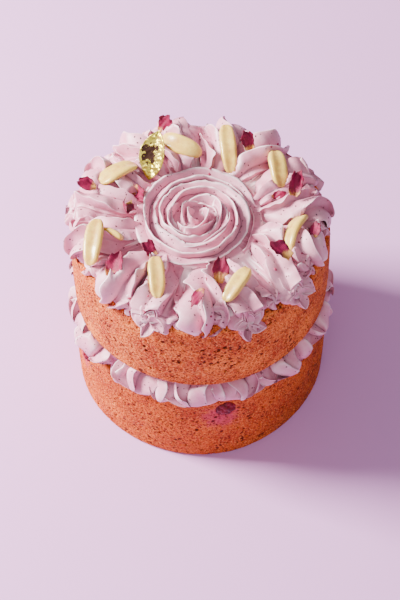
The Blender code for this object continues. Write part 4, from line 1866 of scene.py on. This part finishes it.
@dataclass
class TopCream:
    """All the cream on the top: a bed, the rosette and the border."""

    sizes: CakeSizes
    rosette: Rosette
    border: Border
    bed_radius: float = 70.5 * MM
    bed_height: float = 5.6 * MM
    core_radius: float = 36 * MM
    core_height: float = 8.5 * MM
    core_sides: int = 90
    tuck_inside: float = 2 * MM
    tuck_outside: float = 2.6 * MM
    tuck_draw: float = 2.4 * MM
    thin_margin: float = 0.5 * MM
    margin: float = 1.6 * MM

    def tuck(self, cream: Mesh) -> None:
        """Draws cream that barely stands out of the sponge's side back into it.

        Args:
            cream: The cream's mesh, which is changed.
        """
        rim = self.sizes.upper_top - 0.3 * MM
        for vertex in cream.vertices:
            spot = vertex.co
            across = math.hypot(spot.x, spot.y)
            outside = across - self.sizes.radius
            if spot.z < rim and -self.tuck_inside < outside < self.tuck_outside:
                share = 1 - smoothstep(outside / self.tuck_outside)
                drawn = (across - self.tuck_draw * share) / across
                spot.x *= drawn
                spot.y *= drawn

    def build(self, tree: NodeTree, material: Material, pressed: Sequence[Object]) -> Object:
        """Builds and dresses the top's cream.

        Args:
            tree: The tree that pipes cream along a curve.
            material: The cream.
            pressed: The toppings that lie pressed into the cream.

        Returns:
            The finished piece.
        """
        base = self.sizes.upper_top + self.sizes.clearance
        parts = [drum("bed", self.bed_radius, base, self.bed_height)]
        start = base + self.sizes.clearance
        parts.append(drum("core", self.core_radius, start, self.core_height, self.core_sides))
        parts += self.rosette.build(tree, material)
        parts += self.border.build()
        made = fuse("top_cream_dressed", parts)
        imprint = Imprint(made.data)
        for topping in pressed:
            thin = topping.name.startswith(("petal", "gold"))
            imprint.press(topping.data, self.thin_margin if thin else self.margin)
        self.tuck(made.data)
        keep_inside(made.data, "top_cream")
        made.data.shade_smooth()
        return finish_piece(made, "cream", material, "top_cream")


# -------------------- toppings


def pose(heading: float, tilt: float, roll: float) -> Matrix:
    """Turns a length along +Y to a heading in plan, tilts it up, and rolls it about its length.

    Args:
        heading: Where it points in plan, in degrees.
        tilt: How far its far end is lifted, in degrees.
        roll: How far it is rolled about its length, in degrees.

    Returns:
        The turn.
    """
    turn = Matrix.Rotation(math.radians(heading - 90), 4, "Z")
    lift = Matrix.Rotation(math.radians(tilt), 4, "X")
    return turn @ lift @ Matrix.Rotation(math.radians(roll), 4, "Y")


def settle(mesh: Mesh, node: str, turn: Matrix) -> None:
    """Turns a mesh and moves it so that its box's middle lies on its node's.

    Args:
        mesh: The mesh, around its own middle.
        node: The node that it stands for.
        turn: How it is turned.
    """
    mesh.transform(turn)
    low = Vector([min(vertex.co[i] for vertex in mesh.vertices) for i in range(3)])
    high = Vector([max(vertex.co[i] for vertex in mesh.vertices) for i in range(3)])
    node_low, node_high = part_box(node)
    mesh.transform(Matrix.Translation((Vector(node_low) + Vector(node_high) - low - high) / 2))


def thick_sheet(
    name: str, columns: int, points: Sequence[Vector], values: dict[str, list[float]], thickness: float
) -> Mesh:
    """Makes a grid of points into a sheet with thickness.

    Args:
        name: The mesh's name.
        columns: How many faces lie across.
        points: The points, row after row.
        values: The points' attributes, by name.
        thickness: The sheet's thickness, half of it on either side of the points.

    Returns:
        The closed mesh, with its attributes.
    """
    step = columns + 1
    faces = []
    for row in range(len(points) // step - 1):
        for i in range(columns):
            a = row * step + i
            faces.append((a, a + 1, a + 1 + step, a + step))
    mesh = bpy.data.meshes.new(name)
    mesh.from_pydata(points, [], faces)
    for key, numbers in values.items():
        stored = mesh.attributes.new(key, "FLOAT", "POINT")
        for index, number in enumerate(numbers):
            stored.data[index].value = number
    sheet = add_object(f"{name}_sheet", mesh)
    solid = sheet.modifiers.new("thickness", "SOLIDIFY")
    solid.thickness = thickness
    solid.offset = 0
    made = evaluated_mesh(sheet)
    bpy.data.objects.remove(sheet)
    return made


@dataclass
class LycheeStrip:
    """A curved strip of lychee flesh with a shallow hollow along it."""

    node: str
    heading: float
    tilt: float
    roll: float
    length: float
    width: float
    thickness: float
    bend: float
    seed: int
    sides: int = 28
    stations: int = 36

    @staticmethod
    def middle(arc: float, angle: float) -> Vector:
        """The middle of a strip bent to a radius, at an angle along it."""
        return Vector((0, arc * math.sin(angle), arc * (math.cos(angle) - 1)))

    def mesh(self) -> Mesh:
        """Builds the strip around its own middle.

        Returns:
            The mesh, with its hollow attribute.
        """
        rng = random.Random(self.seed)
        half_bend = math.radians(self.bend) / 2
        arc = self.length * MM / (2 * half_bend)
        skew, dent = rng.uniform(-0.12, 0.12), rng.uniform(0.22, 0.36)
        rings = []
        for i in range(self.stations + 1):
            share = -1 + 2 * i / self.stations
            size = math.sqrt(max(0.0, 1 - abs(share) ** 3.2)) * (1 - 0.08 * share) + 0.02
            angle = share * half_bend
            middle = self.middle(arc, angle)
            out = Vector((0, math.sin(angle), math.cos(angle)))
            ring = []
            for k in range(self.sides):
                turn = 2 * math.pi * k / self.sides
                x = self.width / 2 * MM * size * (math.cos(turn) + skew * share * 0.5)
                flat = 0.58 if math.sin(turn) > 0 else 0.42
                y = self.thickness * MM * flat * size * math.sin(turn)
                if math.sin(turn) > 0:
                    y -= dent * self.thickness * MM * size * math.sin(turn) ** 4
                spot = middle + Vector((x, 0, 0)) + y * out
                drift = noise.noise_vector(spot * 160 + Vector((self.seed * 3.1, 0, 0)))
                ring.append(spot + 0.35 * MM * drift)
            rings.append(ring)
        mesh = lofted(self.node, rings, self.middle(arc, -half_bend), self.middle(arc, half_bend))
        hollow = mesh.attributes.new("hollow", "FLOAT", "POINT")
        for vertex in mesh.vertices:
            angle = math.atan2(vertex.co.y, vertex.co.z + arc)
            rise = (vertex.co - self.middle(arc, angle)).length
            above = vertex.co.y**2 + (vertex.co.z + arc) ** 2 > arc**2
            near = 1 - abs(vertex.co.x) / (0.42 * self.width * MM)
            hollow.data[vertex.index].value = max(0.0, min(1.0, near)) if above and rise > 0 else 0.0
        return mesh

    def build(self, material: Material) -> Object:
        """Builds and dresses the strip.

        Args:
            material: The fruit.

        Returns:
            The finished piece.
        """
        mesh = self.mesh()
        settle(mesh, self.node, pose(self.heading, self.tilt, self.roll))
        mesh.shade_smooth()
        return finish_piece(add_object(f"{self.node}_dressed", mesh), "lychee", material, self.node)


STRIPS = (
    LycheeStrip("lychee_left", -98, -12, 10, 30, 10.5, 6.5, 28, 1),
    LycheeStrip("lychee_left_inner", 150, 0, 60, 15, 7.5, 5.0, 60, 2),
    LycheeStrip("lychee_back_left", 30, 4, -20, 25, 13.0, 6.0, 50, 3),
    LycheeStrip("lychee_back", -30, 4, 20, 29, 11.0, 6.0, 70, 4),
    LycheeStrip("lychee_back_right", -84, -14, 0, 33, 9.5, 6.0, 36, 5),
    LycheeStrip("lychee_right_back", -82, -10, -15, 25, 10.5, 6.5, 30, 6),
    LycheeStrip("lychee_right", -112, 0, 40, 30, 9.5, 5.5, 75, 7),
    LycheeStrip("lychee_front", -87, -10, 0, 27, 9.5, 6.5, 24, 8),
    LycheeStrip("lychee_front_right", -124, -10, 10, 25, 9.5, 6.5, 26, 9),
)


@dataclass
class RosePetal:
    """A dried rose petal: a thin, ruffled sheet with torn edges."""

    node: str
    heading: float
    tilt: float
    roll: float
    length: float
    width: float
    cup: float
    seed: int
    husk: float = 0.0
    thickness: float = 0.35 * MM
    columns: int = 16
    rows: int = 22

    def point(self, across: float, along: float) -> Vector:
        """Gives a point of the sheet.

        Args:
            across: Place across, from -1 to 1.
            along: Place along, from 0 at the base to 1 at the tip.

        Returns:
            The point.
        """
        length, width, cup, seed = self.length * MM, self.width * MM, self.cup * MM, self.seed
        outline = 0.24 + 0.76 * math.sin(math.pi * min(1.0, 0.08 + 0.72 * along)) ** 0.8
        outline *= 1 + 0.10 * math.sin(7 * along + 2.3 * seed)
        torn = 1 - 0.10 * abs(across) ** 3 * (1 + math.sin(19 * along + 3 * seed)) / 2
        x = across * outline * width / 2 * torn
        notch = 0.07 * math.sin(5 * across + 1.7 * seed) * along * along
        notch -= 0.05 * along**4 * (1 + math.sin(11 * across + 2.9 * seed)) / 2
        y = length * (along * (1 - 0.14 * across * across * along) + notch)
        fold = cup * (0.55 * across * across + 0.25 * math.sin(3.1 * across + seed))
        curl = 0.5 * cup * along * along * math.cos(1.3 * seed)
        ruffle = 0.16 * cup * math.sin(6 * along + 3 * across + 1.1 * seed)
        ripple = 0.10 * cup * across * across * math.sin(17 * along + 2.1 * seed)
        crease = 0.07 * cup * math.sin(9 * across + 2.0 * math.sin(4 * along + seed))
        return Vector((x, y, fold + curl + ruffle + ripple + crease))

    def mesh(self) -> Mesh:
        """Builds the sheet with its thickness.

        Returns:
            The mesh, with its along and across attributes.
        """
        points: list[Vector] = []
        values: dict[str, list[float]] = {"across": [], "along": []}
        for j in range(self.rows + 1):
            for i in range(self.columns + 1):
                across, along = -1 + 2 * i / self.columns, j / self.rows
                points.append(self.point(across, along))
                values["across"].append(across)
                values["along"].append((along - self.husk) / (1 - self.husk))
        return thick_sheet(self.node, self.columns, points, values, self.thickness)

    def build(self, material: Material) -> Object:
        """Builds and dresses the petal.

        Args:
            material: The petal's material.

        Returns:
            The finished piece.
        """
        mesh = self.mesh()
        settle(mesh, self.node, pose(self.heading, self.tilt, self.roll))
        mesh.shade_smooth()
        return finish_piece(add_object(f"{self.node}_dressed", mesh), "petal", material, self.node)


PETALS = (
    RosePetal("petal_back_top", 40, 58, 25, 12.0, 9.0, 2.0, 1),
    RosePetal("petal_left", 172, 22, 10, 11.5, 11.0, 2.0, 2),
    RosePetal("petal_by_leaf", -70, 30, 50, 13.0, 9.0, 3.2, 3),
    RosePetal("petal_left_inner", -80, 25, -40, 13.0, 8.5, 3.2, 4),
    RosePetal("petal_left_front", 62, 34, -12, 15.5, 11.0, 2.6, 5),
    RosePetal("petal_front_left", 128, 34, 10, 10.5, 8.5, 2.2, 6),
    RosePetal("petal_front", 76, 48, 15, 15.0, 9.5, 2.8, 7, 0.24),
    RosePetal("petal_fringe", -118, -8, 20, 12.5, 7.5, 2.2, 8),
    RosePetal("petal_back_right", 118, 55, -20, 12.5, 8.0, 2.4, 9),
    RosePetal("petal_right_small", 10, 15, 20, 9.5, 7.5, 2.0, 10),
    RosePetal("petal_right_back", 72, 44, 15, 15.0, 8.5, 2.6, 11),
    RosePetal("petal_right", 150, 32, 10, 14.0, 11.0, 2.6, 12, 0.16),
    RosePetal("petal_right_outer", 78, 30, -10, 9.5, 7.0, 2.0, 13),
)


@dataclass
class Raspberry:
    """A raspberry of small round drupelets."""

    berry: Berry
    drupelets: int = 64
    seed: int = 4

    def mesh(self) -> Mesh:
        """Builds the berry as one bumpy skin.

        Returns:
            The mesh, in place.
        """
        work = bmesh.new()
        bmesh.ops.create_icosphere(work, subdivisions=5, radius=1)
        golden = math.pi * (3 - math.sqrt(5))
        cores = []
        for i in range(self.drupelets):
            z = 1 - 2 * (i + 0.5) / self.drupelets
            ring = math.sqrt(1 - z * z)
            cores.append(Vector((ring * math.cos(golden * i), ring * math.sin(golden * i), z)))
        swell = 2.15 / math.sqrt(self.drupelets)
        for vertex in work.verts:
            nearest = min((vertex.co - core).length for core in cores)
            dome = math.sqrt(max(0.0, 1 - (nearest / swell) ** 2))
            vertex.co *= 0.84 + 0.17 * dome
        mesh = bpy.data.meshes.new(self.berry.node)
        work.to_mesh(mesh)
        work.free()
        mesh.transform(Matrix.Translation(self.berry.middle) @ Matrix.Scale(self.berry.radius, 4))
        return mesh

    def build(self, material: Material) -> Object:
        """Builds and dresses the berry.

        Args:
            material: The berry's material.

        Returns:
            The finished piece.
        """
        mesh = self.mesh()
        mesh.shade_smooth()
        node = self.berry.node
        return finish_piece(add_object(f"{node}_dressed", mesh), "raspberry", material, node)


@dataclass
class FoilLeaf:
    """A pointed, cupped leaf of crinkled gold foil with a nicked edge."""

    node: str = "gold_leaf"
    length: float = 30 * MM
    width: float = 18 * MM
    cup: float = 14 * MM
    thickness: float = 0.5 * MM
    heading: float = -128.0
    lean: float = 38.0
    swing: float = -12.0
    columns: int = 44
    rows: int = 96

    def point(self, across: float, along: float) -> Vector:
        """Gives a point of the crinkled sheet.

        Args:
            across: Place across, from -1 to 1.
            along: Place along, from -1 to 1.

        Returns:
            The point.
        """
        edge = abs(across) ** 6
        nick = 0.03 * edge * abs(math.sin(46 * along + (1.0 if across > 0 else 0.0)))
        half = self.width / 2 * (0.04 + 0.96 * (1 - along * along)) * (1 - nick)
        turn = across * half / self.cup
        x, z = self.cup * math.sin(turn), self.cup * (1 - math.cos(turn))
        y = self.length / 2 * along
        spot = Vector((x, y, 0))
        crinkle = 0.55 * MM * noise.noise(spot * 230) + 0.28 * MM * noise.noise(spot * 620)
        rib = 0.35 * MM * math.exp(-((x / (1.1 * MM)) ** 2))
        return Vector((x, y, z + crinkle - rib))

    def mesh(self) -> Mesh:
        """Builds the leaf with its thickness and its patch attribute.

        Returns:
            The mesh around its own middle.
        """
        points: list[Vector] = []
        patch: list[float] = []
        for j in range(self.rows + 1):
            for i in range(self.columns + 1):
                across, along = -1 + 2 * i / self.columns, -1 + 2 * j / self.rows
                points.append(self.point(across, along))
                away = math.hypot((across + 0.30) / 0.80, (along - 0.05) / 0.56)
                blotch = noise.noise(Vector((across * 2.4 + 3.1, along * 3.8 + 0.6, 0.7)))
                patch.append(1.0 - 0.7 * away * away + 0.3 * blotch)
        return thick_sheet(self.node, self.columns, points, {"patch": patch}, self.thickness)

    def build(self, material: Material) -> Object:
        """Builds and dresses the leaf.

        Args:
            material: The foil.

        Returns:
            The finished piece.
        """
        mesh = self.mesh()
        turn = Matrix.Rotation(math.radians(self.heading + 90), 4, "Z")
        tip = Matrix.Rotation(math.radians(-self.lean), 4, "X")
        spin = Matrix.Rotation(math.radians(self.swing), 4, "Y")
        settle(mesh, self.node, turn @ tip @ spin @ Matrix.Rotation(math.radians(90), 4, "X"))
        mesh.shade_smooth()
        return finish_piece(add_object("gold_leaf_dressed", mesh), "gold", material, self.node)


class Fleck(Enum):
    """The kinds of crumb on the cream."""

    SPECK = "cream_specks"
    FILLING_SPECK = "filling_specks"
    PETAL_CRUMB = "petal_crumbs"


@dataclass
class Flecks:
    """One kind of crumb, scattered over the cream."""

    kind: Fleck
    density: float
    smallest: float
    largest: float
    seed: int
    lowest: float = 0.15

    def build(self, tree: NodeTree, surface: Object, material: Material) -> Object:
        """Scatters and dresses the crumbs.

        Args:
            tree: The tree that scatters them.
            surface: The cream that they lie on.
            material: Their material.

        Returns:
            The finished piece.
        """
        ground = add_object(self.kind.value, surface.data.copy())
        made = run_nodes(
            ground,
            tree,
            Density=self.density,
            Smallest=self.smallest,
            Largest=self.largest,
            Lowest=self.lowest,
            Seed=self.seed,
            Fleck=material,
        )
        keep_inside(made.data, surface.name.removesuffix("_dressed"))
        return finish_piece(made, "petal", material)


# -------------------- the studio


@dataclass(frozen=True)
class Studio:
    """The pale floor, the soft light and the camera."""

    elevation: float = 54.5
    distance: float = 1.45
    focal_pixels: float = 2400.0
    picture_height: float = 600.0
    sensor: float = 36.0
    target: tuple[float, float, float] = (0.0, 0.0, 0.056)
    lit_point: tuple[float, float, float] = (0.0, 0.0, 0.09)
    floor_reach: float = 4.0
    floor_height: float = -0.0002

    def floor(self, effects: Effects) -> None:
        """Lays the floor.

        Args:
            effects: The shared shader groups.
        """
        mesh = bpy.data.meshes.new("floor")
        sides = ((-1, -1), (1, -1), (1, 1), (-1, 1))
        corners = [(x * self.floor_reach, y * self.floor_reach, self.floor_height) for x, y in sides]
        mesh.from_pydata(corners, [], [(0, 1, 2, 3)])
        floor = add_object("floor", mesh)
        mesh.materials.append(FloorFinish().build(effects))

    def lamp(self, name: str, place: Sequence[float], size: float, power: float, colour: Colour) -> None:
        """Hangs a square soft light that faces the cake.

        Args:
            name: The light's name.
            place: Where it hangs.
            size: The length of its side.
            power: Its power in watts.
            colour: Its colour.
        """
        data = bpy.data.lights.new(name, "AREA")
        data.size = size
        data.energy = power
        data.color = colour
        lamp = add_object(name, data)
        lamp.location = place
        toward = Vector(self.lit_point) - Vector(place)
        lamp.rotation_euler = toward.to_track_quat("-Z", "Y").to_euler()

    def camera(self) -> None:
        """Sets the camera at the photograph's viewing angle."""
        data = bpy.data.cameras.new("camera")
        data.sensor_fit = "VERTICAL"
        data.sensor_width = self.sensor
        data.sensor_height = self.sensor
        data.lens = self.focal_pixels / self.picture_height * self.sensor
        rise = math.radians(self.elevation)
        back = Vector((0, -math.cos(rise), math.sin(rise)))
        camera = add_object("camera", data)
        camera.location = Vector(self.target) + back * self.distance
        camera.rotation_euler = (-back).to_track_quat("-Z", "Y").to_euler()
        bpy.context.scene.camera = camera

    def build(self, effects: Effects) -> None:
        """Sets up the whole studio.

        Args:
            effects: The shared shader groups.
        """
        self.floor(effects)
        self.lamp("window", (-1.05, 0.20, 0.80), 0.42, 98.0, (1.0, 0.97, 0.94))
        self.lamp("fill", (0.1, -1.2, 1.0), 1.4, 10.5, (1.0, 0.95, 0.98))
        world = bpy.data.worlds.new("studio")
        world.use_nodes = True
        backdrop = world.node_tree.nodes["Background"]
        backdrop.inputs["Color"].default_value = (0.90, 0.84, 0.93, 1)
        backdrop.inputs["Strength"].default_value = 0.46
        bpy.context.scene.world = world
        self.camera()


def main() -> None:
    """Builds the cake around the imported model."""
    logging.basicConfig(level=logging.INFO, format="%(name)s %(message)s")
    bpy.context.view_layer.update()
    noise.seed_set(Seed.NOISE)
    effects = Effects()
    sizes = CakeSizes()
    sponge_tree = crumb_tree()
    bead_tree = piping_tree()
    fleck_tree = scatter_tree()
    cream = CreamFinish().build(effects)

    lower = Sponge(Layer.LOWER, 0.0, sizes.lower_top, 1.6 * MM, sizes, BERRIES)
    # The lower sponge takes a darker copy of the sponge finish: painted shade for the lower layer.
    lower.build(sponge_tree, effects, SpongeFinish(pale=(0.66, 0.135, 0.022), crumb=(0.80, 0.27, 0.075)))
    upper = Sponge(Layer.UPPER, sizes.upper_bottom, sizes.upper_top, 3.2 * MM, sizes)
    upper.build(sponge_tree, effects, SpongeFinish())
    filling = Filling(sizes).build(cream)
    fruit = FruitFinish().build(effects)
    toppings = [strip.build(fruit) for strip in STRIPS]
    dried = PetalFinish().build(effects)
    toppings += [petal.build(dried) for petal in PETALS]
    toppings.append(FoilLeaf().build(FoilFinish().build(effects)))
    top = TopCream(sizes, Rosette(sizes), Border(sizes)).build(bead_tree, cream, toppings)

    skin = BerryFinish().build(effects)
    for berry in BERRIES:
        Raspberry(berry).build(skin)

    specks = FleckFinish("speck", (0.05, 0.012, 0.018), (0.12, 0.03, 0.04)).build(effects)
    Flecks(Fleck.SPECK, 24000.0, 0.20 * MM, 0.52 * MM, 3).build(fleck_tree, top, specks)
    Flecks(Fleck.FILLING_SPECK, 24000.0, 0.18 * MM, 0.45 * MM, 6, -0.7).build(fleck_tree, filling, specks)
    crumbs = FleckFinish("petal_crumb", (0.22, 0.01, 0.04), (0.45, 0.04, 0.12)).build(effects)
    Flecks(Fleck.PETAL_CRUMB, 1900.0, 0.35 * MM, 1.0 * MM, 8).build(fleck_tree, top, crumbs)

    Studio().build(effects)


if __name__ == "__main__":
    main()
